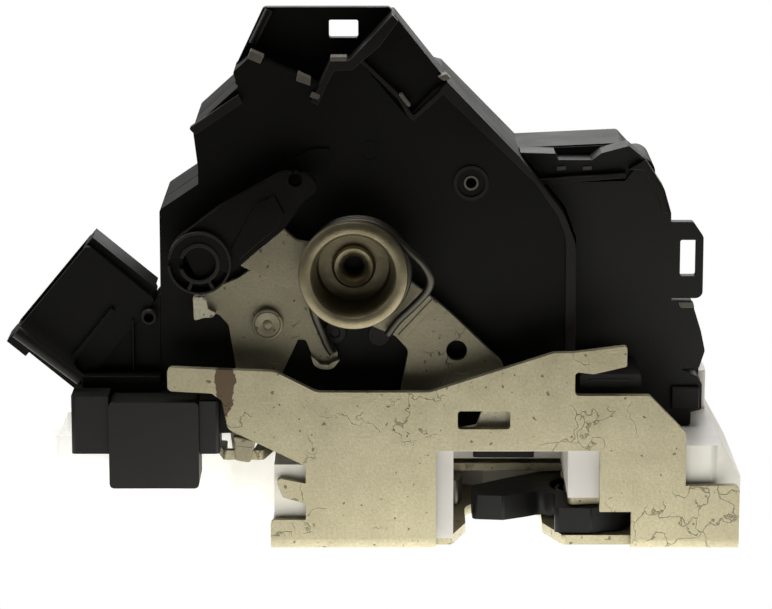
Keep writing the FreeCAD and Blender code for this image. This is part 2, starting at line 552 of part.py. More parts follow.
def right_housing():
    body = new_body("right_housing")
    deep = dim.seam_y - dim.right_face_y
    outline = right_outline()
    pad(body, "block", "front", dim.right_face_y, deep, outline)
    reach = dim.tab_reach
    tab = [(reach - 8.6, dim.tab_high), (reach - 2.2, dim.tab_high, 0.8), (reach, dim.tab_high - 3.2, 0.8),
           (reach, dim.tab_low, 1.5), (reach - 8.6, dim.tab_low)]
    pad(body, "tab", "front", dim.right_face_y, dim.tab_thick, tab)
    slot = rectangle(reach - 4.8, 53.6, reach - 1.5, 61.2, 0.4)
    pocket(body, "tab_slot", "front", dim.right_face_y, dim.tab_thick, slot)
    pocket(body, "hollow", "front", dim.right_face_y + dim.wall, deep, inset(outline, dim.wall))
    ledge = [(1.5, 79.2), (7.7, 79.2), (8.5, 77.8), (15.1, 77.8), (17.3, 79.3), (22.5, 80.6), (25.6, 78.0), (22.2, 73.6),
             (3.5, 73.0)]
    pocket(body, "ledge", "front", dim.right_face_y, 1.0, ledge)
    bar = rectangle(dim.housing_right + 0.6, 33.2, 25.0, 36.2, 0.8)
    pad(body, "bar", "front", 4.0, dim.right_face_y - 3.0, bar)


def rear_outline():
    left = -dim.housing_left
    low = dim.body_high
    return [(left, 36.0, 2.0), (left, 68.6, 1.0), (-65.5, 74.0), (-66.5, 85.6, 0.8), (-57.2, 94.0), (-52.0, 98.0, 1.0),
            (-26.0, 98.0, 1.0), (-15.4, 95.2), (0.3, 79.2), (22.0, 80.2, 1.0), (30.2, 71.2, 1.0), (31.6, 66.6), (32.2, 48.4),
            (36.0, 47.9, 0.5), (38.8, 38.0, 1.0), (38.8, 30.6), (35.9, 30.4), (35.9, low), (-49.8, low), (-60.0, 27.0)]


def rear_housing():
    body = new_body("rear_housing")
    front = dim.seam_y + dim.seal_thick
    deep = dim.housing_back - front
    outline = rear_outline()
    pad(body, "block", "front", front, deep, outline)
    pocket(body, "hollow", "front", front, deep - dim.wall, inset(outline, dim.wall))
    floor = dim.housing_back - dim.wall
    posts = [circle(x, z, 3.0) for x, z in cover_screw_places()]
    pad(body, "screw_posts", "front", front, deep, *posts)
    holes = [circle(x, z, dim.stem_radius) for x, z in cover_screw_places()]
    pocket(body, "screw_holes", "front", dim.housing_back - dim.stem_long, dim.stem_long, *holes)
    post_front = dim.wheel_y + dim.wheel_thick + 0.2
    pad(body, "axle_post", "front", post_front, floor - post_front, circle(-dim.wheel_x, dim.wheel_z, 4.0))
    pocket(body, "axle_seat", "front", post_front, floor - post_front,
           circle(-dim.wheel_x, dim.wheel_z, dim.axle_radius))
    motor_back = dim.drive_y + dim.motor_flat
    ribs = [rectangle(left, 33.0, left + 2.5, 46.0) for left in (-17.0, -4.5)]
    pad(body, "motor_ribs", "front", motor_back, floor - motor_back, *ribs)


def housing_seal():
    body = new_body("housing_seal")
    outline = rear_outline()
    pad(body, "ring", "front", dim.seam_y, dim.seal_thick, inset(outline, 0.3), inset(outline, 1.7))


def cover_screw_places():
    return [(-69.2, 40.0), (-62.0, 82.0), (-30.0, 93.5), (5.0, 71.0), (26.0, 74.0), (32.0, 27.5), (-38.0, 26.0)]


def cover_screws():
    body = new_body("cover_screws")
    back = dim.housing_back
    pad(body, "heads", "front", back, dim.head_high, *[circle(x, z, dim.head_radius) for x, z in cover_screw_places()])
    pad(body, "stems", "front", back - dim.stem_long + 0.5, dim.stem_long - 0.5,
        *[circle(x, z, dim.stem_radius) for x, z in cover_screw_places()])


# Levers on the housing's face, all turning about axes that run along Y.
def spring_cup():
    body = new_body("spring_cup")
    revolve(body, "turned", "top", [
        (dim.cup_hole, dim.cup_boss_face), (dim.cup_boss, dim.cup_boss_face), (dim.cup_boss, dim.cup_floor),
        (dim.cup_bore, dim.cup_floor), (dim.cup_bore, dim.cup_front * -1 + 4.4), (dim.cup_mouth, -dim.cup_front),
        (dim.cup_radius, -dim.cup_front), (dim.cup_radius, dim.cup_shoulder), (dim.cup_neck, dim.cup_shoulder),
        (dim.cup_neck, dim.face_y), (dim.cup_hole, dim.face_y)])
    round_edges(body, "rim", rim_edges(body, dim.cup_radius, -dim.cup_front), 0.5)
    set_at(body, -dim.cup_x, 0, dim.cup_z)


def rim_edges(body, radius, level):
    """The turned edge at one radius and level, for a fillet."""
    return [f"Edge{i}" for i, edge in enumerate(body.Tip.Shape.Edges, 1)
            if edge.Curve.TypeId == "Part::GeomCircle" and abs(edge.Curve.Radius - number(radius)) < 0.01
            and abs(edge.Curve.Center.y - number(level)) < 0.01]


def release_lever():
    body = new_body("release_lever")
    x, z = -dim.cup_x, dim.cup_z
    outline = relative([
        (-22.4, -0.3, 0.8), (-14.5, 7.4, 1.5), (-9.0, 9.5, 3.0), (0.0, 11.6, 6.0), (9.5, 8.5, 4.0), (11.9, -3.2, 3.0),
        (18.5, -8.2, 4.0), (30.8, -20.2, 1.5), (30.8, -26.5, 1.5), (9.4, -26.5, 1.5), (11.2, -17.3, 1.0),
        (8.4, -14.2, 1.0), (3.0, -12.0, 3.0), (-11.0, -5.6, 3.0)], x, z)
    bore = circle(x, z, dim.cup_neck + dim.run_gap)
    hole = circle(x + 21.1, z - 17.4, dim.cable_hole)
    pad(body, "blade", "front", dim.lever_y, dim.lever_thick, outline, bore, hole)


def pawl_lever():
    body = new_body("pawl_lever")
    x, z = -dim.rivet_x, dim.rivet_z
    outline = relative([
        (-14.9, 5.7, 0.8), (-15.3, 1.2, 0.6), (-12.2, 1.8, 0.6), (-10.2, 2.0, 1.5), (-8.0, -0.4, 1.5), (-6.6, -9.4),
        (-8.1, -21.0, 2.0), (-7.2, -29.0, 0.8), (-3.8, -29.0, 0.8), (-2.6, -22.0, 1.0), (3.3, -9.8), (6.2, -3.5, 0.4),
        (7.8, -3.5, 0.8), (10.0, -9.2, 2.0), (14.2, -9.4, 2.2), (14.4, -6.4, 1.0), (11.0, -1.5, 1.5), (9.4, 5.0, 2.0),
        (6.6, 6.8, 1.0), (-3.5, 11.0, 0.6), (-6.2, 9.2)], x, z)
    pad(body, "blade", "front", dim.pawl_lever_y, dim.lever_thick, outline,
        circle(x, z, dim.rivet_shank + dim.run_gap))


def lever_rivet():
    body = new_body("lever_rivet")
    front = dim.pawl_lever_y - 0.2
    revolve(body, "turned", "top", [
        (0, front - 1.4), (dim.rivet_button, front - 1.2), (dim.rivet_button, front), (dim.rivet_shank, front),
        (dim.rivet_shank, dim.face_y + dim.rivet_deep - 2), (0, dim.face_y + dim.rivet_deep - 2)])
    set_at(body, -dim.rivet_x, 0, dim.rivet_z)


def torsion_spring():
    """Wound round the cup: the left leg runs down to the pawl lever, the right leg loops out over the lever."""
    wire, radius, front = number(dim.wire), number(dim.coil_radius), number(dim.coil_front)
    start_angle, turn = 228, -1283
    back = front - number(dim.coil_pitch) * turn / 360
    lever_front = number(dim.lever_y) - wire / 2 - 0.3
    pawl_front = number(dim.pawl_lever_y) - wire / 2 - 0.3
    left_leg = [Vector(-3.4, pawl_front, -20.4), Vector(-4.6, pawl_front - 0.3, -17.0),
                Vector(-5.9, pawl_front - 0.8, -13.6), Vector(-7.2, pawl_front - 1.3, -10.9)]
    right_leg = [Vector(12.6, 2.6, 3.5), Vector(14.7, 2.7, 1.8), Vector(16.0, 2.9, -0.4), Vector(16.3, 3.3, -2.9),
                 Vector(15.4, 3.9, -5.2), Vector(13.3, 4.9, -7.6), Vector(9.8, 6.2, -10.9),
                 Vector(6.3, lever_front, -14.2)]
    winding = [Vector(p.x, p.z, p.y) for p in helix_points(radius, start_angle, turn, back, front)]
    place = Placement(Vector(-number(dim.cup_x), 0, number(dim.cup_z)), Rotation())
    solid_piece("torsion_spring", wire_along(left_leg + winding + right_leg, wire / 2, 8), place)


def lock_lever():
    body = new_body("lock_lever")
    x, z = -dim.lock_x, dim.lock_z
    arm = relative([(-4.4, 4.8), (4.0, 11.3, 1.0), (17.0, 18.5, 1.5), (22.9, 17.7, 1.5), (24.2, 14.8, 1.5), (20.9, 12.3),
                    (17.4, 7.0, 1.5), (7.4, -1.2, 1.0), (0.0, -5.0)], x, z)
    pad(body, "arm", "front", dim.lock_y, dim.lock_thick, arm)
    pad(body, "clip", "front", dim.clip_front, dim.lock_y + dim.lock_thick - dim.clip_front + 1.6,
        circle(x, z, dim.clip_radius))
    pad(body, "shaft", "front", dim.lock_y, dim.wheel_y + dim.wheel_thick + dim.split - dim.lock_y,
        circle(x, z, dim.lock_shaft))
    pocket(body, "socket", "front", dim.clip_front, 4.5, circle(x, z, dim.clip_bore))
    pocket(body, "arm_notch", "front", dim.lock_y, dim.lock_thick, circle(x + 19.5, z + 17.3, 1.5))


# The locking drive: a motor turns a worm, the worm a wheel, and the wheel's pinion a sector on the lock lever.
def gear_face(teeth, module, slack, root_deep, shift):
    """An involute gear's outline about the origin, with a tooth centred on the shift angle."""
    pitch = teeth * module / 2
    base = pitch * math.cos(math.radians(20))
    tip = pitch + module
    root = pitch - root_deep
    radii = [max(base, root) + (tip - max(base, root)) * share for share in (0, 0.35, 0.7, 1)]

    def half_width(radius):
        press = math.acos(min(1, base / radius))
        start = math.tan(math.radians(20)) - math.radians(20)
        return math.pi / (2 * teeth) - slack / pitch / 2 + start - (math.tan(press) - press)

    points = []
    for tooth in range(teeth):
        middle = shift + tooth * 2 * math.pi / teeth
        flank = [(root, half_width(radii[0]))] + [(radius, half_width(radius)) for radius in radii]
        for radius, half in flank:
            points.append(Vector(radius * math.cos(middle - half), radius * math.sin(middle - half), 0))
        for radius, half in reversed(flank):
            points.append(Vector(radius * math.cos(middle + half), radius * math.sin(middle + half), 0))
    kept = [point for i, point in enumerate(points) if (point - points[i - 1]).Length > 1e-4]
    return Part.Face(Part.makePolygon(kept + [kept[0]]))


def along_y(face, front, thick):
    """A flat face drawn in X and Z, stood up and given its thickness along Y."""
    solid = face.extrude(Vector(0, 0, -thick))
    solid.rotate(Vector(), Vector(1, 0, 0), 90)
    solid.translate(Vector(0, front, 0))
    return solid


def locking_drive():
    wheel_front, thick = number(dim.wheel_y), number(dim.wheel_thick)
    teeth = int(number(dim.wheel_teeth))
    pitch = number(dim.worm_pitch)
    high, slack = number(dim.tooth_high), number(dim.tooth_slack)
    module = number(dim.drive_module)
    place = Vector(-number(dim.wheel_x), 0, number(dim.wheel_z))
    pitch_radius = teeth * pitch / 2 / math.pi
    tip, root = pitch_radius + high, pitch_radius - high - 0.35
    step = 2 * math.pi / teeth
    points = []
    for tooth in range(teeth):
        middle = -math.pi / 2 + (tooth + 0.5) * step
        for radius, share in ((root, -0.34), (tip, -0.12), (tip, 0.12), (root, 0.34)):
            angle = middle + share * step
            points.append(Vector(radius * math.cos(angle), radius * math.sin(angle), 0))
    rim = along_y(Part.Face(Part.makePolygon(points + [points[0]])), wheel_front, thick)
    to_lever = math.atan2(number(dim.lock_z - dim.wheel_z), number(dim.wheel_x - dim.lock_x))
    pinion_face = gear_face(int(number(dim.pinion_teeth)), module, slack, module * 1.15, to_lever)
    pinion_front = wheel_front - number(dim.pinion_thick)
    pinion = along_y(pinion_face, pinion_front, number(dim.pinion_thick))
    hole = Part.makeCylinder(number(dim.axle_radius + dim.run_gap), 20, Vector(0, wheel_front - 8, 0), Vector(0, 1, 0))
    solid_piece("worm_wheel", rim.fuse(pinion).cut(hole).removeSplitter(), Placement(place, Rotation()))

    sector_teeth = int(number(dim.sector_teeth))
    gap_shift = to_lever + math.pi + math.pi / sector_teeth
    face = gear_face(sector_teeth, module, slack, module * 1.15, gap_shift)
    reach = sector_teeth * module / 2 + 2
    wedge_angles = [to_lever + math.pi - 0.56, to_lever + math.pi + 0.16]
    corners = [Vector(-4 * math.cos(to_lever + math.pi), -4 * math.sin(to_lever + math.pi), 0)]
    corners += [Vector(reach * 1.05 * math.cos(a), reach * 1.05 * math.sin(a), 0) for a in wedge_angles]
    wedge = Part.Face(Part.makePolygon(corners + [corners[0]]))
    sector = along_y(face.common(wedge).Faces[0], pinion_front + 0.2, number(dim.pinion_thick) - 0.4)
    hub = Part.makeCylinder(number(dim.lock_shaft) + 1.6, number(dim.pinion_thick) - 0.4,
                            Vector(0, pinion_front + 0.2, 0), Vector(0, 1, 0))
    bore = Part.makeCylinder(number(dim.lock_shaft), 20, Vector(0, pinion_front - 8, 0), Vector(0, 1, 0))
    lever_place = Placement(Vector(-number(dim.lock_x), 0, number(dim.lock_z)), Rotation())
    solid_piece("lock_sector", sector.fuse(hub).cut(bore).removeSplitter(), lever_place)

    outer = number(dim.worm_radius) + high
    core = number(dim.worm_radius) - high - 0.35
    long = 5 * pitch
    helix = Part.makeHelix(pitch, long, core)
    profile = Part.makePolygon([Vector(core - 0.3, 0, -0.95), Vector(outer, 0, -0.4), Vector(outer, 0, 0.4),
                                Vector(core - 0.3, 0, 0.95), Vector(core - 0.3, 0, -0.95)])
    thread = Part.Wire(helix).makePipeShell([Part.Wire(profile)], True, True)
    body = Part.makeCylinder(core, long + 2, Vector(0, 0, -1))
    worm = body.fuse(thread).common(Part.makeCylinder(outer + 1, long + 2, Vector(0, 0, -1)))
    worm = worm.cut(Part.makeCylinder(number(dim.shaft_radius), long + 4, Vector(0, 0, -2)))
    start = Vector(-number(dim.wheel_x + dim.worm_half), number(dim.drive_y), number(dim.worm_z))
    solid_piece("worm", worm, Placement(start, Rotation(Vector(0, 1, 0), 90)))


def drive_parts():
    """Motor, its shaft and end bearing, and the wheel's axle."""
    motor = new_body("lock_motor")
    radius = dim.motor_radius
    pad(motor, "can", "side", 0, dim.motor_long, circle(0, 0, radius))
    for name, y in (("front_flat", -radius - 1), ("back_flat", dim.motor_flat)):
        pocket(motor, name, "side", 0, dim.motor_long,
               rectangle(y, -radius - 1, y + radius + 1 - dim.motor_flat, radius + 1))
    pocket(motor, "shaft_bore", "side", 0, dim.motor_long, circle(0, 0, dim.shaft_radius + dim.run_gap))
    set_at(motor, -dim.wheel_x + dim.worm_half + 4, dim.drive_y, dim.worm_z)
    shaft = new_body("motor_shaft")
    pad(shaft, "rod", "side", -dim.worm_half - 7, 2 * dim.worm_half + dim.motor_long + 9,
        circle(0, 0, dim.shaft_radius))
    set_at(shaft, -dim.wheel_x, dim.drive_y, dim.worm_z)
    bush = new_body("shaft_bush")
    foot = dim.body_high + dim.wall - dim.worm_z
    post = [(-3.0, foot), (3.0, foot), (3.0, 3.0, 1.0), (-3.0, 3.0, 1.0)]
    pad(bush, "post", "side", -dim.worm_half - 6, 3.0, post, circle(0, 0, dim.shaft_radius + dim.run_gap))
    set_at(bush, -dim.wheel_x, dim.drive_y, dim.worm_z)
    axle = new_body("wheel_axle")
    pad(axle, "pin", "front", dim.face_y + dim.wall, dim.housing_back - dim.face_y - 2 * dim.wall,
        circle(-dim.wheel_x, dim.wheel_z, dim.axle_radius))


# The connector on the housing's left side, turned so that its mouth faces up and outwards.
def connector():
    turn = Rotation(Vector(0, 1, 0), number(dim.plug_turn))
    place = Vector(-number(dim.plug_x), 0, number(dim.plug_z))
    shroud = new_body("connector_shroud")
    half = dim.plug_wide / 2
    back = dim.plug_y + dim.plug_deep
    pad(shroud, "block", "front", dim.plug_y, dim.plug_deep, rectangle(0, -half, dim.plug_long, half, 1.0))
    pocket(shroud, "socket", "side", 0, dim.plug_socket,
           rectangle(dim.plug_y + dim.plug_wall, -half + dim.plug_wall, back - dim.plug_wall, half - dim.plug_wall))
    pad(shroud, "latch_lug", "front", dim.plug_y + 2, dim.plug_deep - 4, rectangle(0, -half - 1.6, 5.0, -half + 0.4))
    pad(shroud, "key_rib", "front", dim.plug_y + 2, dim.plug_deep - 4, rectangle(0, half - 0.4, 16.5, half + 1.6))
    bind(shroud, "Placement.Base.x", -dim.plug_x)
    bind(shroud, "Placement.Base.z", dim.plug_z)
    shroud.Placement = Placement(place, turn)
    pins = new_body("connector_pins")
    long = dim.plug_socket - 2.0
    blades = [rectangle(dim.plug_y + y, z, dim.plug_y + y + dim.blade_thin, z + dim.blade_wide)
              for y in (4.2, 9.2) for z in (-9.0, -6.0, -3.0, 0.0, 3.0, 6.0)]
    pad(pins, "blades", "side", dim.plug_socket - long, long, *blades)
    pins.Placement = Placement(place, turn)


def connector_neck():
    """The web that carries the connector on the housing's left side."""
    body = new_body("connector_neck")
    turn = math.radians(number(dim.plug_turn))
    along, across = (math.cos(turn), -math.sin(turn)), (math.sin(turn), math.cos(turn))
    seat_x = -dim.plug_x + dim.plug_long * along[0]
    seat_z = dim.plug_z + dim.plug_long * along[1]
    left = -dim.housing_left
    rise = across[1] / across[0]
    outline = [(left, seat_z + (left - seat_x) * rise), (seat_x + (dim.holder_high - seat_z) / rise, dim.holder_high),
               (left, dim.holder_high)]
    pad(body, "web", "front", dim.face_y, dim.plug_deep - 2, outline)


def switch_parts():
    cover = new_body("switch_cover")
    pad(cover, "block", "front", -dim.box_front, dim.box_back + dim.box_front,
        rectangle(-dim.box_left, dim.box_low, -dim.box_right, dim.box_high, 1.0))
    pocket(cover, "hollow", "front", -dim.box_front + dim.wall, dim.box_back + 1,
           rectangle(-dim.box_left + 1.4, dim.box_low + 1.4, -dim.box_right - 1.4, dim.box_high - 1.4))
    holder = new_body("switch_holder")
    left, right = -dim.holder_left, -dim.holder_right
    front = -dim.box_front + 1.2
    step_y = dim.plug_y - 0.3
    around = [(left, front, 0.8), (-dim.box_left - 0.1, front), (-dim.box_left - 0.1, dim.box_back),
              (-dim.box_right + 0.1, dim.box_back), (-dim.box_right + 0.1, front), (right, front, 0.8),
              (right, 9.9), (-62.9, 9.9), (-62.9, dim.face_y), (-dim.holder_step, dim.face_y), (-dim.holder_step, step_y), (left, step_y)]
    pad(holder, "block", "top", dim.holder_low, dim.holder_high - dim.holder_low, around)
    pocket(holder, "right_drop", "top", dim.holder_high - 1.0, 3.0,
           rectangle(-dim.box_right - 1, -4.0, right + 1, dim.face_y + 1))
    switch = new_body("door_switch")
    pad(switch, "case", "front", dim.box_back - 6.5, 6.5,
        rectangle(-dim.box_left + 2.2, dim.holder_low + 0.4, -dim.box_right - 2.2, dim.box_high - 2.0))


latch_plate()
latch_body()
tray()
headed_pin("catch_pin", dim.catch_x, dim.catch_y, dim.pin_radius, dim.pin_neck, dim.rivet_head)
pawl_pin()
catch()
pawl()
back_plate()
bumper()
blade_springs()
front_housing()
right_housing()
rear_housing()
housing_seal()
cover_screws()
spring_cup()
release_lever()
pawl_lever()
lever_rivet()
torsion_spring()
lock_lever()
locking_drive()
drive_parts()
connector()
connector_neck()
switch_parts()

doc.recompute()
for item in doc.Objects:
    if "Invalid" in item.State or "Error" in item.State:
        raise ValueError(f"{item.Label}: {item.State}")
for piece in pieces:
    if piece.Shape.isNull() or not piece.Shape.isValid():
        raise ValueError(f"{piece.Label} has no valid shape")
os.makedirs("parts", exist_ok=True)
for piece in pieces:
    piece.Shape.exportStep(f"parts/{piece.Label}.step")
    print(piece.Label, len(piece.Shape.Solids), round(piece.Shape.Volume, 1))
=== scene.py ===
import math
import bmesh
import bpy
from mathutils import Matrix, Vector
from mathutils.geometry import delaunay_2d_cdt


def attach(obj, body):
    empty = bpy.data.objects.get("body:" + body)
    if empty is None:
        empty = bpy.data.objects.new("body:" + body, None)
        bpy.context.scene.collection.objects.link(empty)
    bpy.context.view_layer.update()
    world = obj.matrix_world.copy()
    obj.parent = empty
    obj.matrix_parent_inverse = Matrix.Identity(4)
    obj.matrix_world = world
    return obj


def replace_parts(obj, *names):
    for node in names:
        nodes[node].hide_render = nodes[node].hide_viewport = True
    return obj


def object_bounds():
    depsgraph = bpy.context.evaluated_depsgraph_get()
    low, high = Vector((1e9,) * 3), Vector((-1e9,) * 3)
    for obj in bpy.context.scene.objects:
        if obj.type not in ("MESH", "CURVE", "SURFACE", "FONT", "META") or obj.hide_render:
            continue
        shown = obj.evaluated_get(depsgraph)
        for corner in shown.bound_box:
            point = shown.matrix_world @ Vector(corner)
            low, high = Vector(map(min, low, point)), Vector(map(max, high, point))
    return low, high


# A door latch with its locking actuator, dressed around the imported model: zinc-plated steel plate and
# levers, black moulded housings, a turned spring cup, a white latch body and a black connector.
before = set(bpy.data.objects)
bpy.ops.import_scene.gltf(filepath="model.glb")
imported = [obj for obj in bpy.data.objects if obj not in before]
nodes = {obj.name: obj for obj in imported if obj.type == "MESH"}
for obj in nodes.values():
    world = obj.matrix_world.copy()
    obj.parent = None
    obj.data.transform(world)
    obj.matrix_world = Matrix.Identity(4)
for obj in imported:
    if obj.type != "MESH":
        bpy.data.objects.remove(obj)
cad_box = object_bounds()

MM = 0.001

# The camera: the photograph's width and focal length in pixels, what it looks at and from where.
IMAGE_WIDTH = 772
FOCAL_PIXELS = 3465
SENSOR = 36.0
CAMERA_TARGET = Vector((-27.1, 0.0, 51.6)) * MM
CAMERA_ELEVATION = math.radians(12)
CAMERA_DISTANCE = 700 * MM

# The light table: its brightness, how far its pool of light reaches, and half its width, in metres.
BACKGROUND = "#FFFFFF"
GLOW = 3.4
GLOW_REACH = 0.4
FLOOR_HALF = 0.9
FLOOR_GAP = 0.2 * MM

# Edges sharper than this get a radius, and faces that meet flatter than this are shaded as one surface.
SHARP_EDGE = math.radians(38)
SMOOTH_BELOW = math.radians(30)

# Centres of the turned and round pieces as seen from the front, in millimetres from the frame's origin.
CUP = (-33.7, 57.6)
PIVOT = (-64.9, 59.5)
RIVET = (-51.4, 45.5)
CABLE_HOLE = (-12.6, 40.2)
ROD_HOLE = (-45.4, 76.4)
FACE_BOSS = (-9.7, 74.2)
FACE_MARK = (-30.4, 80.8)
BLIND_SCREW = (-37.6, 43.0)
BLIND_DISC = (-28.5, 42.4)
NECK_BOSS = (-75.8, 46.6)

# Middle and reach, in millimetres, of the painted shade round the striker's mouth and of the patch of bare
# steel.
MOUTH_SHADE = ((-2.0, 4.0, 14.0), (26.0, 18.0, 22.0))
BARE_STEEL = ((-58.3, 1.5, 37.2), (2.6, 9.0, 9.0))


def linear(code):
    """An sRGB hex colour as linear red, green, blue and alpha."""
    channels = [int(code[i:i + 2], 16) / 255 for i in (1, 3, 5)]
    return (*[c / 12.92 if c <= 0.04045 else ((c + 0.055) / 1.055) ** 2.4 for c in channels], 1.0)


def per_mm(size):
    """The texture scale at which one repeat measures so many millimetres."""
    return 1 / (size * MM)


def add(tree, kind, inputs=None, **settings):
    """Adds a node, sets its properties, and fills each named input with a value or a link."""
    node = tree.nodes.new(kind)
    for name, value in settings.items():
        setattr(node, name, value)
    for socket, value in (inputs or {}).items():
        if isinstance(value, bpy.types.NodeSocket):
            tree.links.new(value, node.inputs[socket])
        else:
            node.inputs[socket].default_value = value
    return node


def new_material(name):
    """An empty material and the object's own coordinates."""
    material = bpy.data.materials.new(name)
    material.use_nodes = True
    tree = material.node_tree
    tree.nodes.clear()
    place = add(tree, "ShaderNodeTexCoord").outputs["Object"]
    return material, tree, place


def show(tree, shader):
    add(tree, "ShaderNodeOutputMaterial", {"Surface": shader})


def noise(tree, place, size, detail=4.0, roughness=0.55):
    """Cloudy noise whose blotches measure about so many millimetres."""
    return add(tree, "ShaderNodeTexNoise", {
        "Vector": place, "Scale": per_mm(size), "Detail": detail, "Roughness": roughness}).outputs["Fac"]


def band(tree, value, low, high, out_low=0.0, out_high=1.0):
    """The value stretched from one range to another and held inside it."""
    return add(tree, "ShaderNodeMapRange", {
        "Value": value, "From Min": low, "From Max": high, "To Min": out_low, "To Max": out_high},
        clamp=True).outputs["Result"]


def blend(tree, share, first, second):
    """Two colours mixed by a share. The colour mix takes them at sockets 0, 6 and 7, and gives them at 2."""
    return add(tree, "ShaderNodeMix", {0: share, 6: first, 7: second}, data_type="RGBA").outputs[2]


def times(tree, first, second):
    return add(tree, "ShaderNodeMath", {0: first, 1: second}, operation="MULTIPLY").outputs[0]


def bump(tree, height, depth):
    """Surface relief whose full height measures so many millimetres."""
    return add(tree, "ShaderNodeBump", {
        "Height": height, "Strength": 1.0, "Distance": depth * MM}).outputs["Normal"]


def spot(tree, place, centre, reach):
    """1 at a place on the part, in millimetres, falling to 0 at the reach."""
    moved = add(tree, "ShaderNodeMapping", {
        "Vector": place, "Location": [-c / r for c, r in zip(centre, reach)],
        "Scale": [1 / (r * MM) for r in reach]}).outputs["Vector"]
    return add(tree, "ShaderNodeTexGradient", {"Vector": moved}, gradient_type="SPHERICAL").outputs["Fac"]


def shaken(tree, place, reach, size, detail):
    """The place moved about by noise, up to a reach in millimetres."""
    cloud = add(tree, "ShaderNodeTexNoise", {"Vector": place, "Scale": per_mm(size), "Detail": detail})
    push = add(tree, "ShaderNodeVectorMath", {0: cloud.outputs["Color"], 1: (reach * MM,) * 3},
               operation="MULTIPLY")
    return add(tree, "ShaderNodeVectorMath", {0: place, 1: push.outputs[0]}, operation="ADD").outputs[0]


# Zinc-plated steel sheet, stamped: a dull warm grey with cloudy passivation, fine pits, and a coating that
# has crept into low creases in patches. One brown patch is where the plating has gone.
def zinc_plated_sheet(name, dark, pale, bare=False):
    material, tree, place = new_material(name)
    clouds = noise(tree, place, 9.0, 6.0, 0.62)
    grain = noise(tree, place, 0.55, 3.0, 0.7)
    base = blend(tree, band(tree, clouds, 0.3, 0.7), linear(dark), linear(pale))
    base = blend(tree, band(tree, grain, 0.35, 0.75, 0.0, 0.45), base, linear("#6E6957"))
    pits = band(tree, noise(tree, place, 1.3, 1.0, 0.4), 0.70, 0.74)
    base = blend(tree, times(tree, pits, 0.7), base, linear("#3A352B"))
    cells = add(tree, "ShaderNodeTexVoronoi", {
        "Vector": shaken(tree, place, 11.0, 6.0, 8.0), "Scale": per_mm(9.0)}, feature="DISTANCE_TO_EDGE")
    line = band(tree, cells.outputs["Distance"], 0.0, 0.014, 1.0, 0.0)
    patches = band(tree, noise(tree, place, 22.0, 3.0), 0.5, 0.56)
    crease = times(tree, line, patches)
    base = blend(tree, times(tree, crease, 0.42), base, linear("#5E5846"))
    if bare:
        torn = shaken(tree, place, 3.0, 2.5, 6.0)
        lost = band(tree, spot(tree, torn, *BARE_STEEL), 0.2, 0.24)
        base = blend(tree, lost, base, linear("#564838"))
    rough = band(tree, clouds, 0.3, 0.7, 0.42, 0.6)
    height = add(tree, "ShaderNodeMath", {0: crease, 1: times(tree, grain, 0.25)}, operation="ADD")
    relief = bump(tree, height.outputs[0], 0.22)
    shader = add(tree, "ShaderNodeBsdfPrincipled", {
        "Base Color": base, "Metallic": 0.72, "Roughness": rough, "Normal": relief})
    show(tree, shader.outputs[0])
    return material


# Turned steel with a yellow passivated coat: a fine grain that breaks the shine up.
def passivated_turned_steel():
    material, tree, place = new_material("yellow_passivated_turned_steel")
    clouds = noise(tree, place, 5.0, 5.0)
    base = blend(tree, band(tree, clouds, 0.3, 0.7), linear("#6F6851"), linear("#887F68"))
    grain = noise(tree, place, 0.4, 3.0)
    base = blend(tree, band(tree, grain, 0.45, 0.8, 0.0, 0.4), base, linear("#7E755A"))
    shader = add(tree, "ShaderNodeBsdfPrincipled", {
        "Base Color": base, "Metallic": 0.85, "Roughness": band(tree, grain, 0.3, 0.7, 0.32, 0.46),
        "Normal": bump(tree, grain, 0.05)})
    show(tree, shader.outputs[0])
    return material


# Bare or plated metal, drawn or blanked: one even colour, with only a fine grain in it.
def plain_metal(name, code, rough):
    material, tree, place = new_material(name)
    grain = noise(tree, place, 0.5, 3.0)
    base = blend(tree, band(tree, grain, 0.3, 0.8, 0.0, 0.3), linear(code), linear("#55534B"))
    shader = add(tree, "ShaderNodeBsdfPrincipled", {
        "Base Color": base, "Metallic": 1.0, "Roughness": rough, "Normal": bump(tree, grain, 0.02)})
    show(tree, shader.outputs[0])
    return material


# Glass-filled nylon, injection moulded: near black, with a fine spark-eroded grain that scatters the light.
def moulded_nylon(name, dark, pale, rough=0.5, grain_mm=0.35, gloss=0.2):
    material, tree, place = new_material(name)
    clouds = noise(tree, place, 14.0, 5.0)
    grain = noise(tree, place, grain_mm, 2.0, 0.6)
    base = blend(tree, band(tree, clouds, 0.35, 0.75), linear(dark), linear(pale))
    shader = add(tree, "ShaderNodeBsdfPrincipled", {
        "Base Color": base, "Roughness": band(tree, clouds, 0.3, 0.7, rough - 0.06, rough + 0.06),
        "IOR": 1.5, "Specular IOR Level": gloss, "Normal": bump(tree, grain, 0.03)})
    show(tree, shader.outputs[0])
    return material


# Natural acetal, injection moulded: milky white and slightly waxy, with painted shade greying it round the
# striker's mouth, where the recess lies in shadow. Where it is thin, the light that comes through it is given
# as a little painted glow.
def natural_acetal(name, code, glow=0.0):
    material, tree, place = new_material(name)
    clouds = noise(tree, place, 8.0, 3.0)
    base = blend(tree, band(tree, clouds, 0.3, 0.7), linear(code), linear("#DEDCD4"))
    # Painted shade: the acetal is greyed round the striker's mouth, where the recess lies in shadow.
    painted_shade = band(tree, spot(tree, place, *MOUTH_SHADE), 0.08, 0.3, 0.0, 0.85)
    base = blend(tree, painted_shade, base, linear("#AEAAA8"))
    shader = add(tree, "ShaderNodeBsdfPrincipled", {
        "Base Color": base, "Roughness": 0.38, "IOR": 1.48, "Normal": bump(tree, clouds, 0.02),
        "Emission Color": linear(code), "Emission Strength": glow})
    show(tree, shader.outputs[0])
    return material


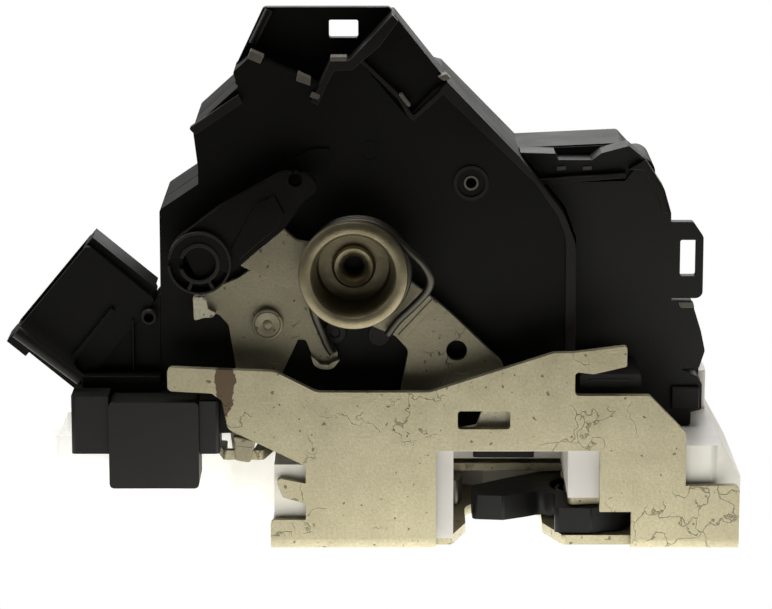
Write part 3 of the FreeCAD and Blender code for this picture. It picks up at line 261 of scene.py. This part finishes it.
# Moulded rubber: dark grey and dull, so that its edges read without any shine.
def soft_rubber():
    material, tree, place = new_material("black_moulded_rubber")
    grain = noise(tree, place, 0.6, 2.0)
    shader = add(tree, "ShaderNodeBsdfPrincipled", {
        "Base Color": linear("#1E1E1E"), "Roughness": 0.75, "Normal": bump(tree, grain, 0.03)})
    show(tree, shader.outputs[0])
    return material


ZINC = zinc_plated_sheet("zinc_plated_sheet_steel", "#968F76", "#B0A98E", bare=True)
# A paler zinc. On the slot tab it is painted light, brightening a tab that lies in the plate's shadow.
PALE_ZINC = zinc_plated_sheet("pale_zinc_plated_steel_painted_light", "#A8A28C", "#C6C1AE")
DULL_ZINC = zinc_plated_sheet("dull_zinc_plated_steel", "#7C7663", "#969079")
CUP_STEEL = passivated_turned_steel()
HARD_STEEL = plain_metal("fine_blanked_hardened_steel", "#6E6C66", 0.4)
SPRING_STEEL = plain_metal("drawn_spring_wire_steel", "#47453F", 0.46)
MOTOR_STEEL = plain_metal("drawn_motor_can_steel", "#A8A8A4", 0.3)
TERMINAL = plain_metal("tinned_brass_terminal", "#C9BC96", 0.28)
NYLON = moulded_nylon("black_glass_filled_nylon", "#080705", "#0B0A07", gloss=0.15)
COVER_NYLON = moulded_nylon("black_glass_filled_nylon_cover", "#0E0D0A", "#131210", gloss=0.26)
# Paler nylon for raised rims, ribs, rings, beads and ledges: a painted highlight for the light their tops and
# edges catch.
LIT_EDGE_NYLON = moulded_nylon("glass_filled_nylon_painted_edge_light", "#171512", "#1E1C18", 0.42)
LEVER_NYLON = moulded_nylon("black_moulded_nylon_lever", "#050403", "#100E0B", 0.42, gloss=0.12)
# Pale nylon for the clips, ledge slots, wing and bore lining: a painted highlight where small tops catch the
# light.
PALE_NYLON = moulded_nylon("pale_glass_filled_nylon_painted_highlight", "#55514A", "#69655C", 0.45)
OVERMOULD = moulded_nylon("greased_black_overmoulding", "#060606", "#121212", 0.4, 1.2, 0.14)
ACETAL = natural_acetal("natural_white_acetal", "#D0CCC2")
# The tray's emission is a painted glow, standing in for light that comes through the thin acetal.
THIN_ACETAL = natural_acetal("thin_backlit_acetal", "#FAFAF8", 0.3)
GEAR_ACETAL = natural_acetal("natural_gear_acetal", "#E6E2D2")
RUBBER = soft_rubber()

# The finish of each node that the scene keeps as it comes from the frame.
FINISHES = {
    "latch_plate": ZINC, "latch_body": ACETAL, "tray": THIN_ACETAL, "catch_pin": ZINC, "pawl_pin": ZINC,
    "catch": HARD_STEEL, "catch_cover": OVERMOULD, "pawl": HARD_STEEL, "pawl_crank": ZINC,
    "back_plate": ZINC, "bumper": RUBBER, "catch_spring": SPRING_STEEL, "pawl_spring": SPRING_STEEL,
    "front_housing": NYLON, "right_housing": COVER_NYLON, "rear_housing": NYLON, "housing_seal": RUBBER,
    "cover_screws": ZINC, "pawl_lever": DULL_ZINC, "worm_wheel": GEAR_ACETAL, "lock_sector": GEAR_ACETAL,
    "worm": GEAR_ACETAL, "lock_motor": MOTOR_STEEL, "motor_shaft": SPRING_STEEL, "shaft_bush": NYLON,
    "wheel_axle": SPRING_STEEL, "connector_shroud": NYLON, "connector_pins": TERMINAL,
    "connector_neck": NYLON, "switch_cover": COVER_NYLON, "switch_holder": COVER_NYLON,
    "door_switch": OVERMOULD,
}

# Width, in millimetres, of the small radius that each kind of piece has on its edges.
EDGE_RADII = {
    "latch_plate": 0.3, "pawl_lever": 0.2, "pawl_crank": 0.2, "front_housing": 0.25, "right_housing": 0.25,
    "rear_housing": 0.3, "connector_shroud": 0.25, "connector_neck": 0.2, "switch_cover": 0.3,
    "switch_holder": 0.25, "latch_body": 0.4, "tray": 0.4, "catch_cover": 0.35,
}
WELD_REACH = 0.002 * MM


def soften(piece, width):
    """Gives a piece's sharp edges a radius of so many millimetres."""
    radius = piece.modifiers.new("edge_radius", "BEVEL")
    radius.width = width * MM
    radius.segments = 2
    radius.limit_method = "ANGLE"
    radius.angle_limit = SHARP_EDGE
    radius.harden_normals = True


def dress_nodes():
    """Gives every carried-over piece its finish, and its edges their small radius."""
    for name, finish in FINISHES.items():
        node = nodes[name]
        node.data.materials.clear()
        node.data.materials.append(finish)
    for name, width in EDGE_RADII.items():
        weld = nodes[name].modifiers.new("joined", "WELD")
        weld.merge_threshold = WELD_REACH
        soften(nodes[name], width)


def rounded(outline):
    """The outline with each corner that gives a third number turned into an arc of about that radius."""
    points = []
    for k, corner in enumerate(outline):
        here = Vector(corner[:2])
        if len(corner) == 2:
            points.append(here)
            continue
        before = Vector(outline[k - 1][:2])
        after = Vector(outline[(k + 1) % len(outline)][:2])
        start = here + (before - here).normalized() * corner[2]
        end = here + (after - here).normalized() * corner[2]
        for step in range(5):
            share = step / 4
            points.append(start.lerp(here, share).lerp(here.lerp(end, share), share))
    return points


def keep(name, shape, body, finish, edge=0.0):
    """Turns built faces into a named piece that rides a body."""
    bmesh.ops.recalc_face_normals(shape, faces=shape.faces)
    for face in shape.faces:
        face.smooth = True
    for line in shape.edges:
        line.smooth = line.calc_face_angle(0.0) < SMOOTH_BELOW
    mesh = bpy.data.meshes.new(name)
    shape.to_mesh(mesh)
    shape.free()
    mesh.materials.append(finish)
    piece = bpy.data.objects.new(name, mesh)
    bpy.context.scene.collection.objects.link(piece)
    if edge:
        soften(piece, edge)
    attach(piece, body)
    return piece


def prism(name, outline, front, back, body, finish, edge=0.12, holes=()):
    """A flat piece: an outline in the picture plane, in millimetres, from its front to its back depth."""
    loops = [rounded(outline), *(rounded(hole) for hole in holes)]
    corners = [point for loop in loops for point in loop]
    sides = []
    start = 0
    for loop in loops:
        sides += [(start + k, start + (k + 1) % len(loop)) for k in range(len(loop))]
        start += len(loop)
    whole = list(range(len(loops[0])))
    if sum(a.cross(b) for a, b in zip(loops[0], [*loops[0][1:], loops[0][0]])) < 0:
        whole.reverse()
    leave_holes_out = 5
    nearest = 0.0001
    flat, _, faces, *_ = delaunay_2d_cdt(corners, sides, [whole], leave_holes_out, nearest)
    shape = bmesh.new()
    near = [shape.verts.new(Vector((x, front, z)) * MM) for x, z in flat]
    far = [shape.verts.new(Vector((x, back, z)) * MM) for x, z in flat]
    uses = {}
    for face in faces:
        shape.faces.new([near[k] for k in face])
        shape.faces.new([far[k] for k in face])
        for pair in zip(face, [*face[1:], face[0]]):
            side = frozenset(pair)
            uses[side] = uses.get(side, 0) + 1
    for side, count in uses.items():
        if count == 1:
            a, b = side
            shape.faces.new((near[a], near[b], far[b], far[a]))
    return keep(name, shape, body, finish, edge)


def lathe(name, profile, centre, body, finish, around=96):
    """A turned piece whose axis runs straight back: the radius and depth of each corner of its section."""
    shape = bmesh.new()
    rings = []
    for radius, depth in profile:
        ring = circle(centre, radius, around) if radius else [centre]
        rings.append([shape.verts.new(Vector((x, depth, z)) * MM) for x, z in ring])
    pairs = list(zip(rings, rings[1:]))
    if profile[0][0]:
        pairs.append((rings[-1], rings[0]))
    for near, far in pairs:
        for k in range(around):
            corners = (near[k - 1 if len(near) > 1 else 0], near[k % len(near)], far[k % len(far)],
                       far[k - 1 if len(far) > 1 else 0])
            shape.faces.new(list(dict.fromkeys(corners)))
    return keep(name, shape, body, finish)


def round_wire_nodes():
    """The nodes that turn a path's edges into a closed round wire, and the identifier of each input."""
    tree = bpy.data.node_groups.new("round_wire", "GeometryNodeTree")
    inputs = {}
    for name, kind in (("Path", "Geometry"), ("Radius", "Float"), ("Sides", "Int"), ("Finish", "Material")):
        socket = tree.interface.new_socket(name, in_out="INPUT", socket_type=f"NodeSocket{kind}")
        inputs[name] = socket.identifier
    tree.interface.new_socket("Wire", in_out="OUTPUT", socket_type="NodeSocketGeometry")
    given = add(tree, "NodeGroupInput").outputs
    path = add(tree, "GeometryNodeMeshToCurve", {"Mesh": given["Path"]})
    ring = add(tree, "GeometryNodeCurvePrimitiveCircle", {
        "Resolution": given["Sides"], "Radius": given["Radius"]})
    wire = add(tree, "GeometryNodeCurveToMesh", {
        "Curve": path.outputs["Curve"], "Profile Curve": ring.outputs["Curve"], "Fill Caps": True})
    whole = add(tree, "GeometryNodeRealizeInstances", {"Geometry": wire.outputs["Mesh"]})
    dressed = add(tree, "GeometryNodeSetMaterial", {
        "Geometry": whole.outputs["Geometry"], "Material": given["Finish"]})
    add(tree, "NodeGroupOutput", {"Wire": dressed.outputs["Geometry"]})
    return tree, inputs


def tube(name, path, radius, body, finish, sides=16):
    """A round wire along a path, both in millimetres."""
    line = bpy.data.meshes.new(f"{name}_path")
    line.from_pydata([point * MM for point in path], [(k, k + 1) for k in range(len(path) - 1)], [])
    guide = bpy.data.objects.new(f"{name}_path", line)
    bpy.context.scene.collection.objects.link(guide)
    wire = guide.modifiers.new("round_wire", "NODES")
    wire.node_group, inputs = ROUND_WIRE
    wire[inputs["Radius"]] = radius * MM
    wire[inputs["Sides"]] = sides
    wire[inputs["Finish"]] = finish
    solid = bpy.data.meshes.new_from_object(guide.evaluated_get(bpy.context.evaluated_depsgraph_get()))
    bpy.data.objects.remove(guide)
    shape = bmesh.new()
    shape.from_mesh(solid)
    return keep(name, shape, body, finish)


def curve_through(points, steps):
    """Points of a smooth curve that passes through the given ones, so many steps to each stretch."""
    held = [points[0], *points, points[-1]]
    curve = []
    for a, b, c, d in zip(held, held[1:], held[2:], held[3:]):
        for step in range(steps):
            s = step / steps
            curve.append(0.5 * (2 * b + (c - a) * s + (2 * a - 5 * b + 4 * c - d) * s * s
                                + (3 * b - a - 3 * c + d) * s * s * s))
    return [*curve, points[-1]]


def arc(centre, radius, first, last, steps=24):
    """Points on an arc, in millimetres and degrees."""
    turns = [math.radians(first + (last - first) * k / steps) for k in range(steps + 1)]
    return [(centre[0] + radius * math.cos(a), centre[1] + radius * math.sin(a)) for a in turns]


def circle(centre, radius, sides):
    """Points all the way round a circle."""
    return arc(centre, radius, 0, 360 * (sides - 1) / sides, sides - 1)


ROUND_WIRE = round_wire_nodes()


def turned_cup():
    """The turned cup: a hollow boss in its middle, a flat floor, and a broad rim that is rolled over."""
    boss = [(2.0, 13.0), (2.0, 9.8), (2.4, 8.9), (3.1, 8.3), (3.9, 8.1), (4.4, 8.5), (4.5, 9.8)]
    bowl = [(7.2, 9.8), (7.6, 9.2), (7.6, 3.6), (7.9, 1.4)]
    rim = [(8.3, -0.3), (8.7, -0.85), (9.4, -1.0), (10.3, -0.95), (10.9, -0.6), (11.1, -0.1), (11.1, 0.9)]
    neck = [(8.9, 1.1), (8.9, 8.0), (8.5, 8.2), (8.5, 13.0)]
    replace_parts(lathe("turned_cup", [*boss, *bowl, *rim, *neck], CUP, "housing", CUP_STEEL), "spring_cup")


def wound_spring():
    """The torsion spring: its left leg, its turns behind the cup's rim, and its right leg."""
    wire_radius, coil_radius, pitch, shift = 0.85, 10.45, 1.8, 0.7
    start_angle, turned, step, back = 204, 888, 32, 6.7
    left = [(-38.0, 9.5, 39.3), (-39.0, 9.5, 40.8), (-40.3, 9.4, 43.9), (-41.5, 8.9, 47.0),
            (-42.3, 7.8, 50.4)]
    coil = []
    for turn in range(0, turned, step):
        angle = math.radians(start_angle - turn)
        coil.append((CUP[0] + shift + coil_radius * math.cos(angle), back - pitch * turn / 360,
                     CUP[1] + coil_radius * math.sin(angle)))
    right = [(-21.4, 2.2, 61.3), (-19.4, 2.3, 59.2), (-18.2, 2.6, 57.0), (-18.2, 3.1, 54.9),
             (-19.3, 3.8, 52.8), (-22.0, 5.0, 49.7), (-24.6, 6.2, 46.9), (-26.7, 7.0, 43.9)]
    path = curve_through([Vector(point) for point in (*left, *coil, *right)], 10)
    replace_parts(tube("wound_spring", path, wire_radius, "housing", SPRING_STEEL), "torsion_spring")


def riveted_head():
    """The rivet's head, spread over the pawl lever, with the dimple of the tool in its middle."""
    head = [(0, 8.75), (0.7, 8.85), (1.0, 9.05), (1.5, 8.9), (2.5, 8.85), (2.65, 9.0), (2.8, 8.85),
            (3.1, 8.95), (3.2, 9.2), (3.2, 10.3), (2.0, 10.3), (2.0, 16.0), (0, 16.0)]
    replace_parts(lathe("riveted_head", head, RIVET, "housing", DULL_ZINC), "lever_rivet")


def bent_tabs():
    """The tab and the lip that are bent out of the pawl lever, and the end of the pawl's crank."""
    tab = [(-66.6, 51.4, 0.5), (-63.9, 51.6), (-63.5, 49.0, 0.4), (-61.8, 48.1, 0.3), (-62.6, 47.1, 0.3),
           (-64.4, 47.0, 0.3), (-66.4, 46.4, 0.6)]
    prism("bent_tab", tab, 8.2, 11.4, "pawl_link", PALE_ZINC, 0.3)
    lip = [(-42.5, 38.9), (-41.9, 36.9, 0.8), (-40.3, 36.1, 0.8), (-38.0, 36.2, 0.8), (-36.5, 38.2, 0.3),
           (-37.7, 37.8), (-38.9, 37.1), (-40.6, 37.2), (-41.8, 38.4)]
    prism("lug_lip", lip, 8.6, 11.6, "pawl_link", PALE_ZINC, 0.25)
    end = [(-58.3, 23.6), (-53.7, 22.6), (-54.9, 17.9, 0.6), (-58.0, 18.4, 0.6)]
    prism("crank_tab", end, 2.3, 4.3, "pawl", DULL_ZINC, 0.3)


def release_blade():
    """The release lever's blade, which goes round the cup, and the step pressed across it."""
    blade = [(-56.9, 58.0, 0.4), (-47.8, 65.4, 0.4), (-45.3, 63.1, 1.0), (-43.2, 62.8),
             *arc(CUP, 9.6, 148, 0, 20), (-21.8, 54.4), (-15.2, 49.4, 4.0), (-2.9, 37.4, 1.5),
             (-2.9, 31.1, 1.5), (-24.3, 31.1, 1.5), (-22.5, 40.3, 1.0), (-25.3, 43.4, 1.0),
             (-30.7, 45.6, 3.0), (-44.7, 52.0, 3.0)]
    holes = [circle(CABLE_HOLE, 2.1, 24), circle(CUP, 8.9, 60)]
    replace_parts(prism("release_blade", blade, 8.2, 10.0, "release", DULL_ZINC, 0.2, holes), "release_lever")
    step = [(-16.6, 50.1), (-17.6, 51.2), (-24.8, 43.4), (-23.6, 42.2)]
    prism("lever_step", step, 7.9, 8.6, "release", DULL_ZINC, 0.2)


def lock_arm():
    """The lock lever's arm with its raised panel, and the pivot with its split ring, rim, web and ribs."""
    arm = [(PIVOT[0] + x, PIVOT[1] + z, *radius) for x, z, *radius in (
        (-4.4, 4.8), (4.0, 11.3, 1.0), (17.0, 18.5, 1.5), (22.9, 17.7, 1.5), (24.2, 14.8, 1.5), (20.9, 12.3),
        (17.4, 7.0, 1.5), (7.4, -1.2, 1.0), (0.0, -5.0))]
    holes = [circle(ROD_HOLE, 1.4, 18)]
    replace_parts(prism("lock_arm", arm, 4.0, 7.6, "lock", LEVER_NYLON, 0.25, holes), "lock_lever")
    panel = [(-58.6, 62.2), (-56.8, 60.0), (-49.2, 66.6), (-47.6, 69.6), (-49.6, 73.4), (-53.4, 71.4)]
    prism("arm_panel", panel, 3.6, 4.4, "lock", LEVER_NYLON, 0.2)
    barrel = [(0, 7.4), (3.4, 7.4), (3.4, 4.6), (6.45, 4.6), (6.45, 9.2), (3.85, 9.2), (3.85, 28.9),
              (0, 28.9)]
    lathe("pivot_barrel", barrel, PIVOT, "lock", LEVER_NYLON)
    ring = [*arc(PIVOT, 4.2, 197, 523), *reversed(arc(PIVOT, 3.4, 199, 521))]
    prism("snap_ring", ring, 2.2, 5.0, "lock", LIT_EDGE_NYLON, 0.12)
    rim = [*arc(PIVOT, 6.45, 188, 532, 48), *reversed(arc(PIVOT, 5.95, 188, 532, 48))]
    prism("pivot_rim", rim, 2.4, 5.0, "lock", LIT_EDGE_NYLON, 0.1)
    web = [*arc(PIVOT, 6.0, -18, 168), *reversed(arc(PIVOT, 4.1, -18, 162))]
    prism("pivot_web", web, 2.6, 5.0, "lock", LEVER_NYLON, 0.1)
    for k, angle in enumerate((-112, -62)):
        inner, outer = (arc(PIVOT, radius, angle - 4, angle + 4, 1) for radius in (4.1, 6.0))
        prism(f"ring_rib_{k + 1}", [*inner, *reversed(outer)], 2.6, 5.0, "lock", LIT_EDGE_NYLON, 0.05)


def face_ribs():
    """The rim and the ribs that stand on the front housing, and its small clips, whose tops carry a painted
    highlight.
    """
    rim = [(-16.2, 93.3), (3.5, 74.2), (8.1, 67.5), (9.8, 63.0, 2.0), (9.8, 27.0), (11.9, 27.0),
           (11.9, 61.5, 2.0), (9.4, 68.0, 2.0), (0.0, 79.9), (-14.7, 95.2)]
    prism("housing_rim", rim, 12.2, 14.0, "housing", LIT_EDGE_NYLON)
    folded = [(-25.8, 108.8), (-29.7, 104.6), (-34.5, 99.5), (-38.4, 99.5), (-40.9, 94.0), (-42.4, 91.0),
              (-40.9, 90.4), (-39.1, 94.6), (-37.6, 97.4), (-33.9, 97.6), (-28.4, 102.4), (-24.6, 107.5)]
    prism("folded_rib", folded, 12.2, 15.0, "housing", LIT_EDGE_NYLON)
    corner = [(-32.4, 99.2), (-30.2, 97.0), (-24.6, 91.6), (-22.9, 88.4), (-21.6, 87.1), (-17.4, 90.8),
              (-15.0, 93.2), (-15.4, 93.8), (-21.5, 88.2), (-22.3, 89.2), (-24.0, 92.2), (-31.8, 99.7)]
    prism("corner_rib", corner, 12.4, 15.0, "housing", LIT_EDGE_NYLON, 0.08)
    clips = {
        "clip_left": [(-54.6, 101.6), (-51.8, 100.4), (-52.6, 98.9), (-55.2, 100.0)],
        "clip_middle": [(-45.0, 97.0), (-42.3, 95.8), (-42.5, 94.4), (-45.4, 95.4)],
        "rib_top": [(-38.4, 100.3), (-35.0, 100.3), (-35.0, 99.4), (-38.4, 99.4)],
        "rib_foot": [(-42.2, 93.1), (-40.4, 92.5), (-40.8, 91.5), (-42.6, 92.1)],
        "clip_right": [(-24.6, 92.6), (-23.8, 92.8), (-22.0, 90.4), (-22.6, 90.0)],
        "clip_corner": [(-16.6, 96.2), (-14.9, 96.8), (-13.9, 95.8), (-15.4, 95.4)],
    }
    # The clips' pale nylon paints the light that falls on their tops.
    for name, outline in clips.items():
        prism(name, outline, 12.0, 16.0, "housing", PALE_NYLON, 0.15)
    bar = [(-67.2, 85.7, 0.5), (-57.0, 92.7), (-56.2, 91.0), (-65.9, 84.4)]
    prism("left_bar", bar, 11.4, 14.0, "housing", LIT_EDGE_NYLON)
    hook = [(-45.4, 79.4), (-42.0, 81.4), (-38.7, 81.4), (-38.7, 79.7), (-41.4, 79.5), (-44.6, 77.3)]
    prism("hook", hook, 12.3, 14.0, "housing", NYLON)


def face_rounds():
    """The round forms of the front housing: the boss with its lined bore, a mark, and two blind places."""
    boss = [(2.9, 12.6), (3.6, 12.6), (3.6, 14.0), (2.9, 14.0)]
    lathe("boss_ring", boss, FACE_BOSS, "housing", LIT_EDGE_NYLON, 48)
    lining = [(1.1, 12.8), (1.5, 12.8), (1.5, 26.0), (1.1, 26.0)]
    lathe("boss_lining", lining, FACE_BOSS, "housing", PALE_NYLON, 48)
    mark = [(1.8, 12.85), (2.2, 12.85), (2.2, 14.0), (1.8, 14.0)]
    lathe("mark_ring", mark, FACE_MARK, "housing", NYLON, 48)
    screw = [(0, 12.7), (0.9, 12.7), (1.1, 12.5), (2.2, 12.5), (2.4, 12.8), (2.4, 14.0), (0, 14.0)]
    lathe("blind_screw", screw, BLIND_SCREW, "housing", LIT_EDGE_NYLON, 48)
    disc = [(0, 12.7), (2.2, 12.7), (2.4, 12.9), (2.4, 14.0), (0, 14.0)]
    lathe("blind_disc", disc, BLIND_DISC, "housing", LIT_EDGE_NYLON, 48)


def right_side_details():
    """The small forms of the right housing: its ledge, shoulder, block, wing and the ridge on its bar."""
    lip = [(2.6, 73.9), (22.4, 75.3), (22.3, 74.3), (2.7, 72.7)]
    prism("ledge_lip", lip, 18.2, 20.0, "housing", LIT_EDGE_NYLON)
    for k, x in enumerate((8.1, 13.5)):
        slot = [(x, 75.7), (x + 1.8, 75.8), (x + 1.8, 76.5), (x, 76.4)]
        prism(f"ledge_slot_{k + 1}", slot, 19.6, 20.4, "housing", PALE_NYLON, 0.0)
    shoulder = [(22.8, 76.0), (26.2, 78.0), (30.2, 71.4), (31.3, 66.8), (30.3, 66.8), (28.9, 70.8),
                (25.8, 75.9)]
    prism("corner_shoulder", shoulder, 18.3, 20.0, "housing", LIT_EDGE_NYLON, 0.2)
    block = [(32.4, 25.4), (38.2, 25.4), (38.2, 30.2), (32.4, 30.2)]
    prism("side_block", block, 17.8, 20.0, "housing", LIT_EDGE_NYLON, 0.3)
    wing = [(33.4, 48.2), (36.6, 48.2), (36.9, 47.0), (34.0, 47.0)]
    prism("side_wing", wing, 18.2, 20.0, "housing", PALE_NYLON, 0.15)
    ridge = [(14.4, 34.7), (22.6, 34.7), (22.6, 35.2), (14.4, 35.2)]
    prism("bar_ridge", ridge, 3.7, 4.6, "housing", LIT_EDGE_NYLON, 0.08)


def left_side_details():
    """The small forms of the plug and its neck, the switch box, and the tab behind the plate's long slot."""
    web = [(-83.4, 48.6), (-92.6, 37.3, 1.0), (-90.4, 33.9), (-89.7, 34.4), (-91.5, 37.2, 0.8),
           (-82.8, 48.0)]
    prism("plug_web", web, 10.6, 13.0, "housing", NYLON, 0.1)
    neck = [(-79.3, 46.0), (-78.9, 46.0), (-78.9, 34.6), (-79.3, 34.6)]
    prism("neck_rib", neck, 10.8, 13.0, "housing", NYLON, 0.08)
    boss = [(1.0, 10.4), (1.5, 10.4), (1.7, 10.7), (1.7, 14.0), (1.0, 14.0)]
    lathe("neck_boss", boss, NECK_BOSS, "housing", LIT_EDGE_NYLON, 48)
    seam = [(-83.3, 26.1), (-65.4, 26.1), (-65.4, 26.4), (-83.3, 26.4)]
    prism("cover_seam", seam, 0.9, 2.0, "housing", LIT_EDGE_NYLON, 0.05)
    tab = [(-11.9, 21.7), (-11.9, 24.9), (-8.6, 25.6), (-7.6, 28.4), (-6.6, 29.4), (-1.0, 29.4),
           (-1.0, 21.7)]
    # Painted light: the plate shades the tab behind the slot, and its pale zinc brightens it.
    prism("slot_tab", tab, 3.4, 4.8, "housing", PALE_ZINC, 0.1)
    side = [(-61.4, 23.6), (-58.6, 23.6), (-58.6, 32.0), (-61.4, 32.0)]
    prism("holder_side", side, 4.6, 6.6, "housing", NYLON, 0.3)
    foot = [(-89.6, 31.4), (-73.4, 31.4), (-73.4, 34.8), (-89.6, 34.8)]
    prism("plug_foot", foot, 8.0, 20.0, "housing", NYLON, 0.2)


def beads():
    """The rounded lip of the plug and the bead beside the eye at the top."""
    for name, first, last, radius in (("plug_lip", (-102.6, 6.3, 44.6), (-89.6, 6.3, 34.6), 1.3),
                                      ("eye_bead", (-54.3, 21.0, 101.8), (-50.9, 21.0, 108.7), 1.1)):
        tube(name, [Vector(first), Vector(last)], radius, "housing", LIT_EDGE_NYLON, 24)


# The studio: the part stands on a light table in a dim room, so that light comes from low in front; the
# camera sees the surround white.
def white_surround():
    world = bpy.data.worlds.new("studio")
    bpy.context.scene.world = world
    world.use_nodes = True
    tree = world.node_tree
    tree.nodes.clear()
    rays = add(tree, "ShaderNodeLightPath")
    seen = add(tree, "ShaderNodeBackground", {"Color": linear(BACKGROUND), "Strength": 1.0})
    way = add(tree, "ShaderNodeTexCoord").outputs["Generated"]
    depth = add(tree, "ShaderNodeSeparateXYZ", {"Vector": way}).outputs["Y"]
    behind = band(tree, depth, 0.05, 0.5, 0.05, 0.42)
    lit = add(tree, "ShaderNodeBackground", {"Color": linear("#F4F3EF"), "Strength": behind})
    mixed = add(tree, "ShaderNodeMixShader", {
        0: rays.outputs["Is Camera Ray"], 1: lit.outputs[0], 2: seen.outputs[0]})
    add(tree, "ShaderNodeOutputWorld", {"Surface": mixed.outputs[0]})


def floor():
    """The opal table under the part: brightest beneath it, fading outwards; the camera sees it white."""
    level = cad_box[0][2] - FLOOR_GAP
    mesh = bpy.data.meshes.new("floor")
    corners = [(-1, -1), (1, -1), (1, 1), (-1, 1)]
    mesh.from_pydata([(x * FLOOR_HALF, y * FLOOR_HALF, level) for x, y in corners], [], [(0, 1, 2, 3)])
    slab = bpy.data.objects.new("floor", mesh)
    bpy.context.scene.collection.objects.link(slab)
    material, tree, place = new_material("opal_light_table")
    rays = add(tree, "ShaderNodeLightPath")
    near = add(tree, "ShaderNodeMapping", {"Vector": place, "Scale": (1 / GLOW_REACH,) * 3})
    pool = add(tree, "ShaderNodeTexGradient", {"Vector": near.outputs["Vector"]},
               gradient_type="QUADRATIC_SPHERE").outputs["Fac"]
    shine = add(tree, "ShaderNodeEmission", {
        "Color": linear("#FFFEF8"), "Strength": times(tree, pool, GLOW)})
    seen = add(tree, "ShaderNodeEmission", {"Color": linear(BACKGROUND), "Strength": 1.0})
    mixed = add(tree, "ShaderNodeMixShader", {
        0: rays.outputs["Is Camera Ray"], 1: shine.outputs[0], 2: seen.outputs[0]})
    show(tree, mixed.outputs[0])
    mesh.materials.append(material)


def lamp(name, place, aim, size, power):
    """A soft square lamp at a place in metres, turned towards an aim, with its power in watts."""
    light = bpy.data.lights.new(name, "AREA")
    light.size = size
    light.energy = power
    piece = bpy.data.objects.new(name, light)
    piece.location = place
    piece.rotation_euler = (Vector(aim) - Vector(place)).to_track_quat("-Z", "Y").to_euler()
    bpy.context.scene.collection.objects.link(piece)


def studio():
    white_surround()
    floor()
    middle = (-0.02, 0.02, 0.05)
    lamp("top_lamp", (-0.1, 0.1, 1.0), middle, 0.7, 6.0)
    lamp("back_lamp", (0.1, 0.7, 0.5), middle, 0.7, 3.0)
    lamp("side_lamp", (-0.7, 0.06, 0.5), middle, 0.3, 4.0)


def camera():
    data = bpy.data.cameras.new("camera")
    data.sensor_width = SENSOR
    data.lens = FOCAL_PIXELS * SENSOR / IMAGE_WIDTH
    data.clip_end = 10.0
    eye = bpy.data.objects.new("camera", data)
    away = Vector((0.0, -math.cos(CAMERA_ELEVATION), math.sin(CAMERA_ELEVATION)))
    eye.location = CAMERA_TARGET + away * CAMERA_DISTANCE
    eye.rotation_euler = (-away).to_track_quat("-Z", "Y").to_euler()
    bpy.context.scene.collection.objects.link(eye)
    bpy.context.scene.camera = eye


dress_nodes()
turned_cup()
wound_spring()
riveted_head()
bent_tabs()
release_blade()
lock_arm()
face_ribs()
face_rounds()
right_side_details()
left_side_details()
beads()
studio()
camera()
bpy.context.scene.view_settings.view_transform = "Standard"
